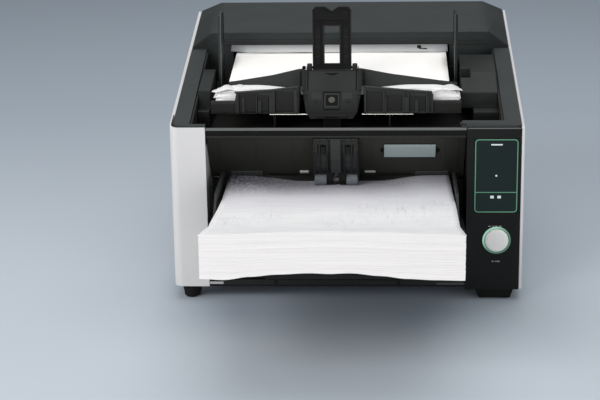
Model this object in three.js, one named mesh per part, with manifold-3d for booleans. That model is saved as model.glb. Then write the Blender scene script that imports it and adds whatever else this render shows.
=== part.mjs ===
// Sheet fed document scanner, A3 class, with a front paper hopper, a U-turn
// paper path and an output stacker on top. Millimetres, +Z up, +X to the
// operator's right, the operator stands at -Y. The origin is on the floor,
// under the centre of the whole object's box.

import * as THREE from 'three';
import { mergeVertices } from 'three/addons/utils/BufferGeometryUtils.js';
import { ConvexGeometry } from 'three/addons/geometries/ConvexGeometry.js';
import Module from 'manifold-3d';

const wasm = await Module();
wasm.setup();

// ---------------------------------------------------------------- dimensions
// Inside this file Y = 0 is the front face of the body and the feet stand at
// FOOT_Z0. The root group is moved by FRAME_Y and FRAME_Z so that the origin
// lies on the floor, under the centre of the box.
const FRAME_Y = -50;
const FRAME_Z = 6;
const FOOT_Z0 = -6;

const HALF_W = 230;          // half of the body width
const SKIN = 4;              // side panel thickness
const SIDE_END = 403;        // rear end of the side panels
const REAR = 430;            // rear face
const SIDE_Z0 = 229;         // top edge of the side panels at the front
const SIDE_SLOPE = 0.196;    // and its rise towards the rear
const BASE_Z = 12;           // underside of the base pan
const OPEN_L = -183;         // feed opening between the two front columns
const OPEN_R = 155.6;
const PAPER_L = -160;        // A3 portrait stack, 297 wide
const PAPER_R = 137;
const CORNER_R = 12;         // outer vertical edge of the front column

const PIVOT = { y: 412, z: 256, r: 3 };        // top unit hinge
const ARM_PIVOT = { y: 5, z: 210 };            // pick arm
const PICK = { y: 28, z: 152.4, r: 8 };
const LEVER_PIVOT = { y: 13.6, z: 204.6 };
const FEED = { y: 116, z: 124, r: 12 };
const TRANS_F = { y: 160, z: 127.5, r: 8.5 };
const TRANS_R = { y: 250, z: 128, r: 8.5 };
const EXIT = { y: 297, z: 290, r: 9 };
const MOTOR = { y: 330, z: 60, r: 22 };
const PULLEY_R = 9;
const TURN = { y: 318, z: 208, r: 71 };        // U-turn of the paper path
const BUTTON = { x: 196, z: 76.7, r: 15.5 };
const FAN = { x: -120, z: 100, r: 35 };
const FOLD_PIVOT = { y: 110.5, z: 284.5 };     // stopper arm

const HOPPER_Z0 = 100.5;     // hopper tray surface at Y = 0
const HOPPER_SLOPE = -0.0774;
const HOPPER_KINK = -213;    // where the tray turns up
const KINK_SLOPE = 0.24;     // rise per mm towards the front
const STACK_T = 45;          // paper stack thickness

const sideZ = (y) => SIDE_Z0 + SIDE_SLOPE * y;
const hopperZ = (y) => y >= HOPPER_KINK
  ? HOPPER_Z0 + HOPPER_SLOPE * y
  : HOPPER_Z0 + HOPPER_SLOPE * HOPPER_KINK + KINK_SLOPE * (HOPPER_KINK - y);
const trayZ = (y) => 240 + 0.096 * (y - 75);

// ------------------------------------------------------------------- helpers
function solid(geo) {
  const g = geo.index ? geo.clone() : geo;
  g.deleteAttribute('normal');
  g.deleteAttribute('uv');
  const m = mergeVertices(g, 1e-5);
  return new wasm.Manifold(new wasm.Mesh({
    numProp: 3,
    vertProperties: new Float32Array(m.attributes.position.array),
    triVerts: new Uint32Array(m.index.array),
  }));
}

function box(x0, x1, y0, y1, z0, z1) {
  const g = new THREE.BoxGeometry(x1 - x0, y1 - y0, z1 - z0);
  g.translate((x0 + x1) / 2, (y0 + y1) / 2, (z0 + z1) / 2);
  return solid(g);
}

function extrude(pts, depth, holes = []) {
  const s = new THREE.Shape(pts.map((p) => new THREE.Vector2(p[0], p[1])));
  for (const h of holes) s.holes.push(new THREE.Path(h.map((p) => new THREE.Vector2(p[0], p[1]))));
  return new THREE.ExtrudeGeometry(s, { depth, bevelEnabled: false, steps: 1, curveSegments: 1 });
}

// outline in (y, z), extruded along X
function prismX(pts, x0, x1, holes = []) {
  const g = extrude(pts, x1 - x0, holes);
  g.applyMatrix4(new THREE.Matrix4().set(0, 0, 1, x0, 1, 0, 0, 0, 0, 1, 0, 0, 0, 0, 0, 1));
  return solid(g);
}

// outline in (x, z), extruded along Y
function prismY(pts, y0, y1, holes = []) {
  const g = extrude(pts, y1 - y0, holes);
  g.applyMatrix4(new THREE.Matrix4().set(1, 0, 0, 0, 0, 0, -1, y1, 0, 1, 0, 0, 0, 0, 0, 1));
  return solid(g);
}

// outline in (x, y), extruded along Z
function prismZ(pts, z0, z1, holes = []) {
  const g = extrude(pts, z1 - z0, holes);
  g.translate(0, 0, z0);
  return solid(g);
}

function hull(pts) {
  return solid(new ConvexGeometry(pts.map((p) => new THREE.Vector3(p[0], p[1], p[2]))));
}

function cyl(axis, a, b, c0, c1, r, n = 24, r2 = r) {
  // axis 'x': a = y, b = z; axis 'y': a = x, b = z; axis 'z': a = x, b = y
  const g = new THREE.CylinderGeometry(r2, r, c1 - c0, n);
  const mid = (c0 + c1) / 2;
  if (axis === 'x') { g.rotateZ(-Math.PI / 2); g.translate(mid, a, b); }
  if (axis === 'y') { g.translate(a, mid, b); }
  if (axis === 'z') { g.rotateX(Math.PI / 2); g.translate(a, b, mid); }
  return solid(g);
}

function arc(cx, cy, r, a0, a1, n) {
  const out = [];
  for (let i = 0; i <= n; i++) {
    const t = (a0 + (a1 - a0) * i / n) * Math.PI / 180;
    out.push([cx + r * Math.cos(t), cy + r * Math.sin(t)]);
  }
  return out;
}

const join = (...m) => m.reduce((a, b) => a.add(b));
const cut = (a, ...m) => m.reduce((x, y) => x.subtract(y), a);

const root = new THREE.Group();
root.name = 'sheet_fed_scanner';
root.position.set(0, FRAME_Y, FRAME_Z);

function put(parent, name, man, color, roughness, metalness = 0, place = [0, 0, 0]) {
  const mesh = man.getMesh();
  const g = new THREE.BufferGeometry();
  const src = mesh.vertProperties;
  const n = mesh.numProp;
  const pos = new Float32Array((src.length / n) * 3);
  for (let i = 0; i < src.length / n; i++) {
    pos[3 * i] = src[n * i] - place[0];
    pos[3 * i + 1] = src[n * i + 1] - place[1];
    pos[3 * i + 2] = src[n * i + 2] - place[2];
  }
  g.setAttribute('position', new THREE.BufferAttribute(pos, 3));
  g.setIndex(new THREE.BufferAttribute(new Uint32Array(mesh.triVerts), 1));
  const m = new THREE.Mesh(g, new THREE.MeshStandardMaterial({ color, roughness, metalness }));
  m.name = name;
  m.position.set(...place);
  parent.add(m);
  return m;
}

const WHITE = 0xd6d7da;
const DARK = 0x2b2e2f;
const SLATE = 0x3a4042;
const BLACK = 0x151516;
const STEEL = 0x9aa0a4;
const PAPER = 0xf2f1ee;

const base = new THREE.Group();
const top = new THREE.Group();
const hopper = new THREE.Group();
root.add(base, top, hopper);

// ---------------------------------------------------------------- base frame
{
  let pan = join(
    box(-225.7, 225.7, 3.3, 402, BASE_Z, 22),
    box(OPEN_L + 0.3, OPEN_R - 0.3, 0.5, 6, BASE_Z, 22),
  );
  pan = cut(pan, box(-222, 222, 7, 398.5, 15, 30));
  put(base, 'base_pan', pan, BLACK, 0.6);

  put(base, 'foot_front_left', cyl('z', -208.5, 14, FOOT_Z0, BASE_Z, 9.6, 24, 10.4), BLACK, 0.9);
  put(base, 'foot_front_right', hull([
    [174.5, 6, FOOT_Z0], [215.5, 6, FOOT_Z0], [215.5, 38, FOOT_Z0], [174.5, 38, FOOT_Z0],
    [167, 3.6, BASE_Z], [221, 3.6, BASE_Z], [221, 41, BASE_Z], [167, 41, BASE_Z],
  ]), BLACK, 0.9);
  put(base, 'foot_rear_left', cyl('z', -199, 375, FOOT_Z0, BASE_Z, 12, 24, 13.5), BLACK, 0.9);
  put(base, 'foot_rear_right', cyl('z', 199, 375, FOOT_Z0, BASE_Z, 12, 24, 13.5), BLACK, 0.9);
}

// pressed side plates that carry the shafts and the top unit's hinge
function chassisPlate(x0, x1) {
  let p = prismX([
    [45, 15], [396, 15], [396, 200], [417, 244], [417, 262], [404, 262],
    [392, 236], [45, 222],
  ], x0, x1);
  const hole = (y, z, r) => cyl('x', y, z, x0 - 1, x1 + 1, r, 20);
  p = cut(p, hole(PIVOT.y, PIVOT.z, 3.35), hole(FEED.y, FEED.z, 4.3),
    hole(TRANS_F.y, TRANS_F.z, 4.3), hole(TRANS_R.y, TRANS_R.z, 4.3));
  return p;
}
put(base, 'chassis_plate_left',
  cut(chassisPlate(-206, -204), cyl('x', MOTOR.y, MOTOR.z, -208, -202, 5.3, 16)),
  STEEL, 0.45, 0.7);
put(base, 'chassis_plate_right', chassisPlate(204, 206), STEEL, 0.45, 0.7);

// -------------------------------------------------------------- outer covers
const cornerOutline = (inset, yEnd, xEnd) => [
  [xEnd, inset], [xEnd, yEnd], [-HALF_W + inset, yEnd],
  ...arc(-HALF_W + CORNER_R, CORNER_R, CORNER_R - inset, 180, 270, 8),
];
{
  const aboveSide = prismX([
    [-10, sideZ(-10)], [420, sideZ(420)], [420, 420], [-10, 420],
  ], -240, 240);
  const shell = prismZ([
    [OPEN_L, 0], [OPEN_L, 97], [OPEN_L - 3, 97], [OPEN_L - 3, 3],
    ...arc(-HALF_W + CORNER_R, CORNER_R, CORNER_R - 3.5, 270, 180, 8),
    [-HALF_W + SKIN, 16], [-HALF_W + SKIN, SIDE_END], [-HALF_W, SIDE_END],
    ...arc(-HALF_W + CORNER_R, CORNER_R, CORNER_R, 180, 270, 10),
  ], 12, 315);
  let cover = cut(shell, aboveSide,
    prismZ(cornerOutline(1.7, 41, -150), 220.7, 320),
    box(-190, -150, 3.01, 99, 202.5, 330),
    box(-225.99, -150, 3.01, 99, 0, 22.3));
  put(base, 'left_side_cover', cover, WHITE, 0.42);

  const right = cut(box(HALF_W - SKIN, HALF_W, 0, SIDE_END, 9, 315), aboveSide);
  put(base, 'right_side_cover', right, WHITE, 0.42);
}

// black column with the screen and the scan button
{
  let h = join(
    box(OPEN_R, 225.7, 0, 18, 8.5, 227.8),
    box(OPEN_R, OPEN_R + 3, 17, 97, 22.3, 202.5),
  );
  h = cut(h,
    box(OPEN_R + 3, 222.7, 3, 30, 25.3, 224.8),
    box(OPEN_R - 1, 230, 3.01, 99, 0, 22.3),
    box(165.6, 222.4, -1, 4, 114, 214),
    cyl('y', BUTTON.x, BUTTON.z, -1, 4, 18.6, 40));
  put(base, 'operator_panel_housing', h, 0x1c1c1b, 0.38);
  put(base, 'lcd_screen', box(165.9, 222.1, 0.2, 4, 114.3, 213.7), 0x1d2b2a, 0.15);
  const ring = cut(
    cyl('y', BUTTON.x, BUTTON.z, -0.6, 4, 18.3, 40),
    cyl('y', BUTTON.x, BUTTON.z, -2, 6, 16, 40));
  put(base, 'button_light_ring', ring, 0x4f8f68, 0.3);
  const prof = [
    [0, -3], [12, -2.8], [14.6, -2.2], [BUTTON.r, -1.2], [BUTTON.r, 6], [15.3, 7], [0, 7],
  ].map((p) => new THREE.Vector2(p[0], p[1]));
  const bg = new THREE.LatheGeometry(prof, 40);
  const button = new THREE.Group();
  button.position.set(BUTTON.x, 0, BUTTON.z);
  base.add(button);
  put(button, 'scan_button', solid(bg), 0xbdbcba, 0.35);
}

{
  let f = box(OPEN_L + 0.3, OPEN_R - 0.3, 2, 5, 22.3, 58);
  f = f.add(box(OPEN_L + 0.3, OPEN_R - 0.3, 2, 14, 55, 58));
  put(base, 'front_lower_cover', f, 0x1b1c1c, 0.5);
  let w = box(-203.7, 203.7, 98, 101, 22.3, 132);
  w = cut(w, box(-203.8, OPEN_L - 6, 97, 102, 60, 140), box(OPEN_R + 6, 203.8, 97, 102, 60, 140));
  put(base, 'hopper_rear_wall', w, DARK, 0.55);
}

// rear cover with louvres, mains inlet and interface sockets
{
  const o = [[-229.7, 403.5], [-229.7, 406], [-214, REAR], [214, REAR], [229.7, 406], [229.7, 403.5],
    [226.3, 403.5], [226.3, 405.2], [212.4, 426.8], [-212.4, 426.8], [-226.3, 405.2], [-226.3, 403.5]];
  let c = prismZ(o, 14, 247.5);
  for (let i = 0; i < 9; i++) {
    const x = FAN.x - 32 + i * 8;
    c = c.subtract(box(x - 1.8, x + 1.8, 420, 435, 68, 132));
  }
  c = cut(c, box(135.7, 164.3, 420, 435, 39.7, 61.3), box(59.7, 110.3, 420, 435, 39.7, 58.3));
  put(base, 'rear_cover', c, SLATE, 0.5);

  let inlet = box(136, 164, 406, 429.6, 40, 61);
  inlet = inlet.subtract(prismY([[138.5, 42.5], [161.5, 42.5], [161.5, 54.5], [157.5, 58.5], [142.5, 58.5], [138.5, 54.5]], 410, 435));
  inlet = join(inlet,
    box(142.5, 144.5, 409, 421.5, 46, 50), box(155.5, 157.5, 409, 421.5, 46, 50),
    box(149, 151, 409, 421.5, 51, 55));
  put(base, 'ac_inlet', inlet, BLACK, 0.5);

  let ports = box(60, 110, 408, 429.6, 40, 58);
  ports = cut(ports, box(66, 78, 415, 435, 43.5, 54.5), box(88, 103, 415, 435, 42.5, 55.5));
  put(base, 'interface_ports', ports, 0x555a5c, 0.4, 0.5);
}

// cooling fan
{
  let frame = box(FAN.x - 40, FAN.x + 40, 400, 423, FAN.z - 40, FAN.z + 40);
  frame = frame.subtract(cyl('y', FAN.x, FAN.z, 399, 424, 37, 40));
  frame = join(frame,
    cyl('y', FAN.x, FAN.z, 400, 403, 14, 24),
    box(FAN.x - 39, FAN.x + 39, 400, 403, FAN.z - 2, FAN.z + 2),
    box(FAN.x - 2, FAN.x + 2, 400, 403, FAN.z - 39, FAN.z + 39));
  put(base, 'fan_frame', frame, BLACK, 0.5);
  let rotor = cyl('y', FAN.x, FAN.z, 404, 420, 14, 24);
  for (let i = 0; i < 7; i++) {
    const a = i * 2 * Math.PI / 7;
    const g = new THREE.BoxGeometry(22, 15, 1.6);
    g.rotateX(0.6);
    g.translate(24, 0, 0);
    g.rotateY(a);
    g.translate(FAN.x, 412, FAN.z);
    rotor = rotor.add(solid(g));
  }
  put(base, 'fan_rotor', rotor, BLACK, 0.5);
}

// electronics and drive
{
  let pcb = box(208.5, 210.1, 60, 380, 40, 190);
  pcb = join(pcb, box(210, 216, 90, 130, 90, 130), box(210, 219, 160, 172, 60, 150),
    box(210, 218, 220, 250, 100, 130), box(210, 221, 300, 340, 50, 80), box(210, 217, 200, 205, 150, 185));
  put(base, 'main_circuit_board', pcb, 0x1f5a3a, 0.5);
  let psu = box(60, 180, 300, 390, 24, 74);
  for (let i = 0; i < 6; i++) psu = psu.subtract(box(70 + i * 17, 78 + i * 17, 298, 302, 34, 64));
  put(base, 'power_supply', psu, STEEL, 0.4, 0.8);
  const motor = join(
    cyl('x', MOTOR.y, MOTOR.z, -203.7, -166, MOTOR.r, 28),
    cyl('x', MOTOR.y, MOTOR.z, -206.5, -203.7, 5, 16));
  put(base, 'drive_motor', motor, STEEL, 0.35, 0.8);
  const pulley = join(
    cyl('x', MOTOR.y, MOTOR.z, -215.5, -208.5, PULLEY_R, 24),
    cyl('x', MOTOR.y, MOTOR.z, -217, -215.5, PULLEY_R + 2, 24));
  put(base, 'motor_pulley', pulley, 0xb7b9ba, 0.4, 0.6);

  // toothed belt round the three pulleys, on their outer tangents
  const loop = (r) => {
    const c = [[FEED.y, FEED.z], [TRANS_R.y, TRANS_R.z], [MOTOR.y, MOTOR.z]];
    const out = [];
    for (const [cy, cz] of c) for (const p of arc(cy, cz, r, 0, 337.5, 15)) out.push(p);
    out.sort((a, b) => a[0] - b[0] || a[1] - b[1]);
    const cross = (o, a, b) => (a[0] - o[0]) * (b[1] - o[1]) - (a[1] - o[1]) * (b[0] - o[0]);
    const half = (pts) => {
      const h = [];
      for (const p of pts) {
        while (h.length > 1 && cross(h[h.length - 2], h[h.length - 1], p) <= 1e-9) h.pop();
        h.push(p);
      }
      h.pop();
      return h;
    };
    return [...half(out), ...half([...out].reverse())];
  };
  const belt = prismX(loop(PULLEY_R + 2.2), -214.8, -209.2).subtract(prismX(loop(PULLEY_R + 0.6), -216, -208));
  put(base, 'drive_belt', belt, 0x111111, 0.9);

  const roller = (p, x0, x1, tyres, pulley) => {
    let s = cyl('x', p.y, p.z, x0, x1, 4, 16);
    for (const [a, b] of tyres) s = s.add(cyl('x', p.y, p.z, a, b, p.r, 28));
    if (pulley) s = s.add(cyl('x', p.y, p.z, -215.5, -208.5, PULLEY_R, 24));
    return s;
  };
  put(base, 'lower_feed_roller', roller(FEED, -217, 207.5, [[-44, -16], [-8, 20]], true), 0x4a4d4f, 0.85);
  put(base, 'transport_roller_front', roller(TRANS_F, -207.8, 207.5, [[-140, -110], [-60, -30], [8, 38], [88, 118]], false), 0x4a4d4f, 0.85);
  put(base, 'transport_roller_rear', roller(TRANS_R, -217, 207.5, [[-140, -110], [-60, -30], [8, 38], [88, 118]], true), 0x4a4d4f, 0.85);

  put(base, 'lower_reading_unit', box(-172, 148, 185, 225, 95, 133.9), BLACK, 0.5);
  put(base, 'lower_scan_glass', box(-166, 142, 188, 222, 133.9, 135.9), 0x9fb8bd, 0.05);

  const lowGuide = [...arc(TURN.y, TURN.z, TURN.r + 2, -90, -2, 14), ...arc(TURN.y, TURN.z, TURN.r, -2, -90, 14)];
  const guide = prismX([[262, 135], ...lowGuide, [262, 137]], -175, 151);
  put(base, 'lower_turn_guide', guide, DARK, 0.5);
}

// ------------------------------------------------------------------ top unit
{
  // frame round the stacker: two sloping side strips, the front ridge and the
  // strip over the operator column
  const outline = [
    [225.7, 9], [225.7, 254], [204, 254], [204, 18], [150, 18], [150, 9], [-204, 9], [-204, 254],
    [-225.7, 254], [-225.7, CORNER_R],
    ...arc(-HALF_W + CORNER_R, CORNER_R, 7.7, 180, 250, 6), [-212, 3], [219.7, 3],
    ...arc(219.7, 9, 6, -80, -10, 5),
  ];
  const slab = prismX([
    [-5, sideZ(-5) - 6], [260, sideZ(260) - 6], [260, sideZ(260) + 1.5], [-5, sideZ(-5) + 1.5],
  ], -230, 230);
  let s = prismZ(outline, 200, 320).intersect(slab);
  s = cut(s, box(OPEN_L, OPEN_R - 0.3, 0, 9.5, 227.3, 240), box(150, 230, 0, 18.01, 200, 228.3));
  s = join(s, box(OPEN_L + 0.4, OPEN_R - 0.4, 2, 9, 221, 227.3), box(149, OPEN_R + 2, 3, 9, 226.9, 229.5).subtract(box(OPEN_R - 0.4, 170, 0, 20, 200, 228.3)));
  s = s.add(box(150, OPEN_R - 0.4, 3, 18, 226.9, 229.5));
  put(top, 'stacker_surround', s, SLATE, 0.42);

  // slanted panel over the feed mouth, with two sensor windows and small tabs
  let p = prismX([[3, 220.7], [7.5, 220.7], [64, 147.5], [60, 147]], OPEN_L + 0.5, OPEN_R - 0.8);
  p = p.add(prismX([[60, 147], [64, 147.5], [84, 146], [84, 143.5], [62, 143.5]], -172, 148));
  put(top, 'adf_front_panel', p, 0x1d1e1e, 0.5);

  // steel hinge shaft
  put(top, 'hinge_shaft', cyl('x', PIVOT.y, PIVOT.z, -212, 212, PIVOT.r, 20), STEEL, 0.3, 0.9);

  // hood over the U-turn, open below and at the exit slot
  const shellPts = (i) => [
    [-225.7 + i, 263 + i, 252 - 2 * i], [225.7 - i, 263 + i, 252 - 2 * i],
    [-225.7 + i, 403 - i / 2, 252 - 2 * i], [225.7 - i, 403 - i / 2, 252 - 2 * i],
    [-212 + i, 425.5 - i, 252 - 2 * i], [212 - i, 425.5 - i, 252 - 2 * i],
    [-209.5 + i, REAR - i, 264], [209.5 - i, REAR - i, 264],
    [-225.7 + i, 263 + i, 281.8 - i / 2], [225.7 - i, 263 + i, 281.8 - i / 2],
    [-225.7 + i, 403 - i / 2, 309.2 - i / 2], [225.7 - i, 403 - i / 2, 309.2 - i / 2],
    [-197 + i / 2, 263 + i, 303 - i], [197 - i / 2, 263 + i, 303 - i],
    [-197 + i / 2, 424 - i, 318 - i], [197 - i / 2, 424 - i, 318 - i],
    [-205 + i / 2, REAR - i, 311 - i], [205 - i / 2, REAR - i, 311 - i],
  ];
  let hood = hull(shellPts(0)).subtract(hull(shellPts(3)));
  hood = hood.subtract(box(-166, 141, 255, 270, 240, 288));
  // short lower lips each side of the slot close the gap to the well
  hood = join(hood, box(-225.7, -204.5, 255, 264, 268, 279), box(204.5, 225.7, 255, 264, 268, 279));
  put(top, 'hood', hood, SLATE, 0.42);

  // tub that forms the stacker well
  const outer = cut(
    prismX([[9.3, 219.5], [22.5, 203], [252, 203], [252, 277.5], [9.3, 229.5]], -203.7, 203.7),
    box(149.7, 210, 0, 18.3, 190, 300));
  const inner = cut(
    prismX([[11.8, 221], [24, 205.5], [249.5, 205.5], [249.5, 320], [11.8, 320]], -201.2, 201.2),
    box(147.2, 210, 0, 20.8, 190, 330));
  let tub = cut(outer, inner, box(-201.2, 201.2, 248, 254, 255.5, 330),
    box(-206, 149.7, 9, 12.5, 226.5, 240), box(150, 206, 18, 21.5, 229.5, 240));
  put(top, 'well_liner', tub, 0x191a1a, 0.6);

  // shaped blocks each side of the well
  let left = join(
    prismX([[80, 205.5], [246, 205.5], [246, 236], [80, 232]], -201.2, -184.6),
    prismX([[100, 230], [192, 230], [192, 265], [176, 265], [100, 256]], -201.2, -184.6));
  put(top, 'left_side_block', left, 0x33383a, 0.5);
  let right = join(
    prismX([[80, 205.5], [246, 205.5], [246, 236], [80, 230]], 168, 201.2),
    prismX([[108, 228], [246, 228], [246, 272], [232, 276], [150, 268], [108, 250]], 152.6, 201.2));
  right = cut(right, box(150, 166, 140, 170, 252, 300), box(150, 176, 232, 250, 258, 300));
  put(top, 'right_side_block', right, 0x343a3a, 0.5);

  // stacker tray: sloping bed with a slot for the stopper, ribbed front wall
  const bed = (x0, x1, y0, y1) => prismX([
    [y0, trayZ(y0) - 3], [y1, trayZ(y1) - 3], [y1, trayZ(y1)], [y0, trayZ(y0)],
  ], x0, x1);
  let tray = cut(bed(-100, 75, 66, 246), box(-63.5, 22.5, 60, 185, 200, 300));
  tray = join(tray,
    prismY([[-181, 232], [-63.5, 232], [-63.5, 267], [-100, 262.5], [-147, 259.5], [-149, 249], [-181, 249]], 66, 70),
    prismY([[22.5, 232], [151, 232], [151, 249], [114, 249], [112, 259.5], [70, 262.5], [22.5, 267]], 66, 70),
    box(-98, -95, 68, 246, 205.5, 240), box(55, 58, 68, 246, 205.5, 240));
  for (const [x0, x1] of [[-139, -136], [-103, -97], [-68, -65], [49, 52], [74, 81], [105, 108]]) {
    tray = tray.add(box(x0, x1, 63.5, 67, 234, 254));
  }
  for (const [x0, x1] of [[-118, -114], [90, 94]]) tray = tray.add(box(x0, x1, 63.5, 67, 234, 250));
  // raised wings that carry the leading edge of the sheets
  tray = join(tray,
    prismY([[-159, 257.6], [-54, 257.6], [-54, 279], [-62, 279]], 117, 119.5),
    prismY([[9, 257.6], [134, 257.6], [17, 279.5], [9, 279.5]], 117, 119.5),
    box(-67, -64, 117, 119.5, 240, 259), box(25, 28, 117, 119.5, 240, 259));
  put(top, 'stacker_tray', tray, 0x2c2f30, 0.48);

  // stopper: carriage, latch and folding arm
  const SX = -20.5; // centre plane of the stopper
  let car = hull([
    [SX - 28, 60, 226], [SX + 28, 60, 226], [SX - 28, 114, 226], [SX + 28, 114, 226],
    [SX - 40, 104, 281], [SX + 40, 104, 281], [SX - 40, 114, 281], [SX + 40, 114, 281],
    [SX - 39, 84, 257], [SX + 39, 84, 257], [SX - 34, 64, 234], [SX + 34, 64, 234],
  ]);
  car = car.add(box(SX - 12, SX + 12, 72, 110, 205.9, 227));
  car = cut(car,
    hull([[SX - 11, 70, 233], [SX + 11, 70, 233], [SX - 11, 88, 255.5], [SX + 11, 88, 255.5],
      [SX - 11, 75, 229], [SX + 11, 75, 229], [SX - 11, 93, 251.5], [SX + 11, 93, 251.5],
      [SX - 11, 58, 243], [SX + 11, 58, 243], [SX - 11, 76, 265.5], [SX + 11, 76, 265.5]]),
    cyl('y', SX, 293, 96, 106, 17, 24));
  car = join(car, box(SX - 33, SX - 27, 106, 114, 280, 289), box(SX + 27, SX + 33, 106, 114, 280, 289));
  car = cut(car, cyl('x', FOLD_PIVOT.y, FOLD_PIVOT.z, SX - 31, SX + 31, 2.35, 16));
  put(top, 'stopper_carriage', car, 0x2a2c2d, 0.45);
  // square latch set in the sloping face
  const n = [0.781, -0.625]; // into the face, (y, z)
  const t = [0.625, 0.781];  // up the face
  const at = (u, d) => [68.6 + t[0] * u + n[0] * d, 237.4 + t[1] * u + n[1] * d];
  const latch = [at(1.5, -0.5), at(23.5, -0.5), at(23.5, 3.2), at(1.5, 3.2)];
  put(top, 'stopper_latch', prismX(latch, SX - 10.4, SX + 10.4), 0x3a3c3c, 0.4);
  let arm = prismY([
    [SX - 26, 282.2], [SX + 26, 282.2], [SX + 26, 362], [SX + 22, 367], [SX + 9, 367], [SX, 361],
    [SX - 9, 367], [SX - 22, 367], [SX - 26, 362],
  ], 108, 113, [[[SX - 10, 290], [SX - 10, 341], [SX + 10, 341], [SX + 10, 290]]]);
  arm = arm.add(cyl('x', FOLD_PIVOT.y, FOLD_PIVOT.z, SX - 30.5, SX + 30.5, 2, 16));
  put(top, 'stopper_arm', arm, 0x232526, 0.45);

  // sliding side guides of the stacker
  const plateG = (x0, x1, f0, f1) => join(
    prismX([[174, 206.3], [226, 206.3], [226, 334], [219, 342], [184, 342], [174, 326]], x0, x1),
    box(f0, f1, 175, 225, 206.3, 212));
  put(top, 'stacker_guide_left', plateG(-179.6, -176.8, -179.6, -168), 0x3c4143, 0.45);
  put(top, 'stacker_guide_right', plateG(146.6, 150, 138, 150), 0x2a2d2e, 0.45);

  // sheets lying in the stacker
  const pile = join(
    prismX([[120.1, trayZ(120.1) + 0.4], [285, trayZ(285) + 0.4], [285, 279], [120.1, 263]], -160.5, 136.5),
    box(-178, -63.9, 76, 116.6, 246.8, 256), box(22.9, 151, 76, 116.6, 246.8, 256),
    box(-158, -70, 116, 121, 246.8, 256), box(32, 134, 116, 121, 246.8, 256));
  put(top, 'output_paper', pile, PAPER, 0.85);

  // upper reading unit, U-turn guide and exit roller under the hood
  put(top, 'upper_reading_unit', box(-172, 148, 185, 225, 142.1, 180), BLACK, 0.5);
  put(top, 'upper_scan_glass', box(-166, 142, 188, 222, 140.1, 142.1), 0x9fb8bd, 0.05);
  const up = [...arc(TURN.y, TURN.z, TURN.r + 2, 2, 100, 16), ...arc(TURN.y, TURN.z, TURN.r, 100, 2, 16)];
  put(top, 'upper_turn_guide', prismX(up, -175, 151), DARK, 0.5);
  let ex = cyl('x', EXIT.y, EXIT.z, -190, 166, 3, 16);
  for (const x of [-130, -60, 20, 90]) ex = ex.add(cyl('x', EXIT.y, EXIT.z, x, x + 18, EXIT.r, 24));
  put(top, 'exit_roller', ex, 0x4a4d4f, 0.85);
}

// pick arm with its rollers, in front of the slanted panel
{
  let a = prismX([[2.4, 213.5], [7.2, 214], [34, 178], [40, 168], [39, 162], [24, 162], [12, 174], [3.4, 196]], -43, 15);
  a = cut(a, box(-17.5, -10.5, 0, 60, 140, 176), box(-38, -26, 0, 8.5, 178, 206), box(-2, 10, 0, 8.5, 178, 206));
  const cheek = (x0, x1) => prismX([[20, 168], [40, 168], [38, 150], [32, 146.6], [24, 146.6], [20, 152]], x0, x1);
  a = join(a, cheek(-26, -17.5), cheek(-10.5, -1));
  a = cut(a, cyl('x', PICK.y, PICK.z, -44, 16, 3.3, 16));
  put(top, 'pick_arm', a, 0x26292a, 0.42);
  let r = cyl('x', PICK.y, PICK.z, -43, 15, 3, 16);
  r = join(r, cyl('x', PICK.y, PICK.z, -42, -26.6, PICK.r, 28), cyl('x', PICK.y, PICK.z, -0.4, 14, PICK.r, 28));
  put(top, 'pick_roller', r, 0x6d7072, 0.8);

  const out = (y, z, d) => [y - 0.791 * d, z - 0.612 * d];
  const lever = [out(16.7, 203, 0.6), out(31.4, 184, 0.6), out(31.4, 184, 3.6), out(16.7, 203, 3.6)];
  put(top, 'release_lever', prismX(lever, 49, 116), 0x7d888a, 0.4);
}

// -------------------------------------------------------------------- hopper
{
  const slope = (y0, y1, t0, t1) => [[y0, hopperZ(y0) - t1], [y1, hopperZ(y1) - t1], [y1, hopperZ(y1) - t0], [y0, hopperZ(y0) - t0]];
  let tray = join(
    prismX(slope(-60, 97, 0, 4), -179, 153),
    prismX(slope(-205, -58, 0, 4), -150, 126),
    prismX(slope(-60, 97, 0, 14), -177, -173), prismX(slope(-60, 97, 0, 14), 147, 151),
    prismX(slope(-205, -40, 0, 12), -146, -143), prismX(slope(-205, -40, 0, 12), 119, 122),
    prismX(slope(HOPPER_KINK, -200, 0, 4), -95, 71),
    prismX(slope(-300, HOPPER_KINK + 0.001, 0, 4), -95, 71));
  put(hopper, 'hopper_tray', tray, DARK, 0.5);
  const e = (y) => hopperZ(y) - 4.5;
  let ext = prismX([[-318, e(-318) - 3], [-222, e(-222) - 3], [-222, e(-222)], [-318, e(-318)]], -85, 61);
  ext = ext.add(prismX([[-318, e(-318) - 3], [-314, e(-314) - 3], [-314, e(-314) + 3.5], [-318, e(-318) + 3.5]], -85, 61));
  put(hopper, 'hopper_extension', ext, DARK, 0.5);

  const g = (x0, x1, f0, f1) => join(
    prismX([[-110, hopperZ(-110) + 0.4], [42, hopperZ(42) + 0.4], [42, 158], [36, 161], [-70, 161], [-110, 132]], x0, x1),
    prismX([[-58, hopperZ(-58) + 0.4], [40, hopperZ(40) + 0.4], [40, hopperZ(40) + 4.4], [-58, hopperZ(-58) + 4.4]], f0, f1));
  put(hopper, 'hopper_guide_left', g(-165.5, -162.2, -178, -162.2), 0x2a2c2d, 0.45);
  put(hopper, 'hopper_guide_right', g(139.2, 142.5, 139.2, 152), 0x2a2c2d, 0.45);

  const stack = [
    [88, hopperZ(88) + 0.4], [HOPPER_KINK, hopperZ(HOPPER_KINK) + 0.4], [-330, hopperZ(-330) + 0.4]];
  const profile = [...stack, ...[...stack].reverse().map(([y, z]) => [y, z + STACK_T])];
  put(hopper, 'hopper_paper', prismX(profile, PAPER_L, PAPER_R), PAPER, 0.85);
}

root.updateMatrixWorld(true);

export default root;
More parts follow.
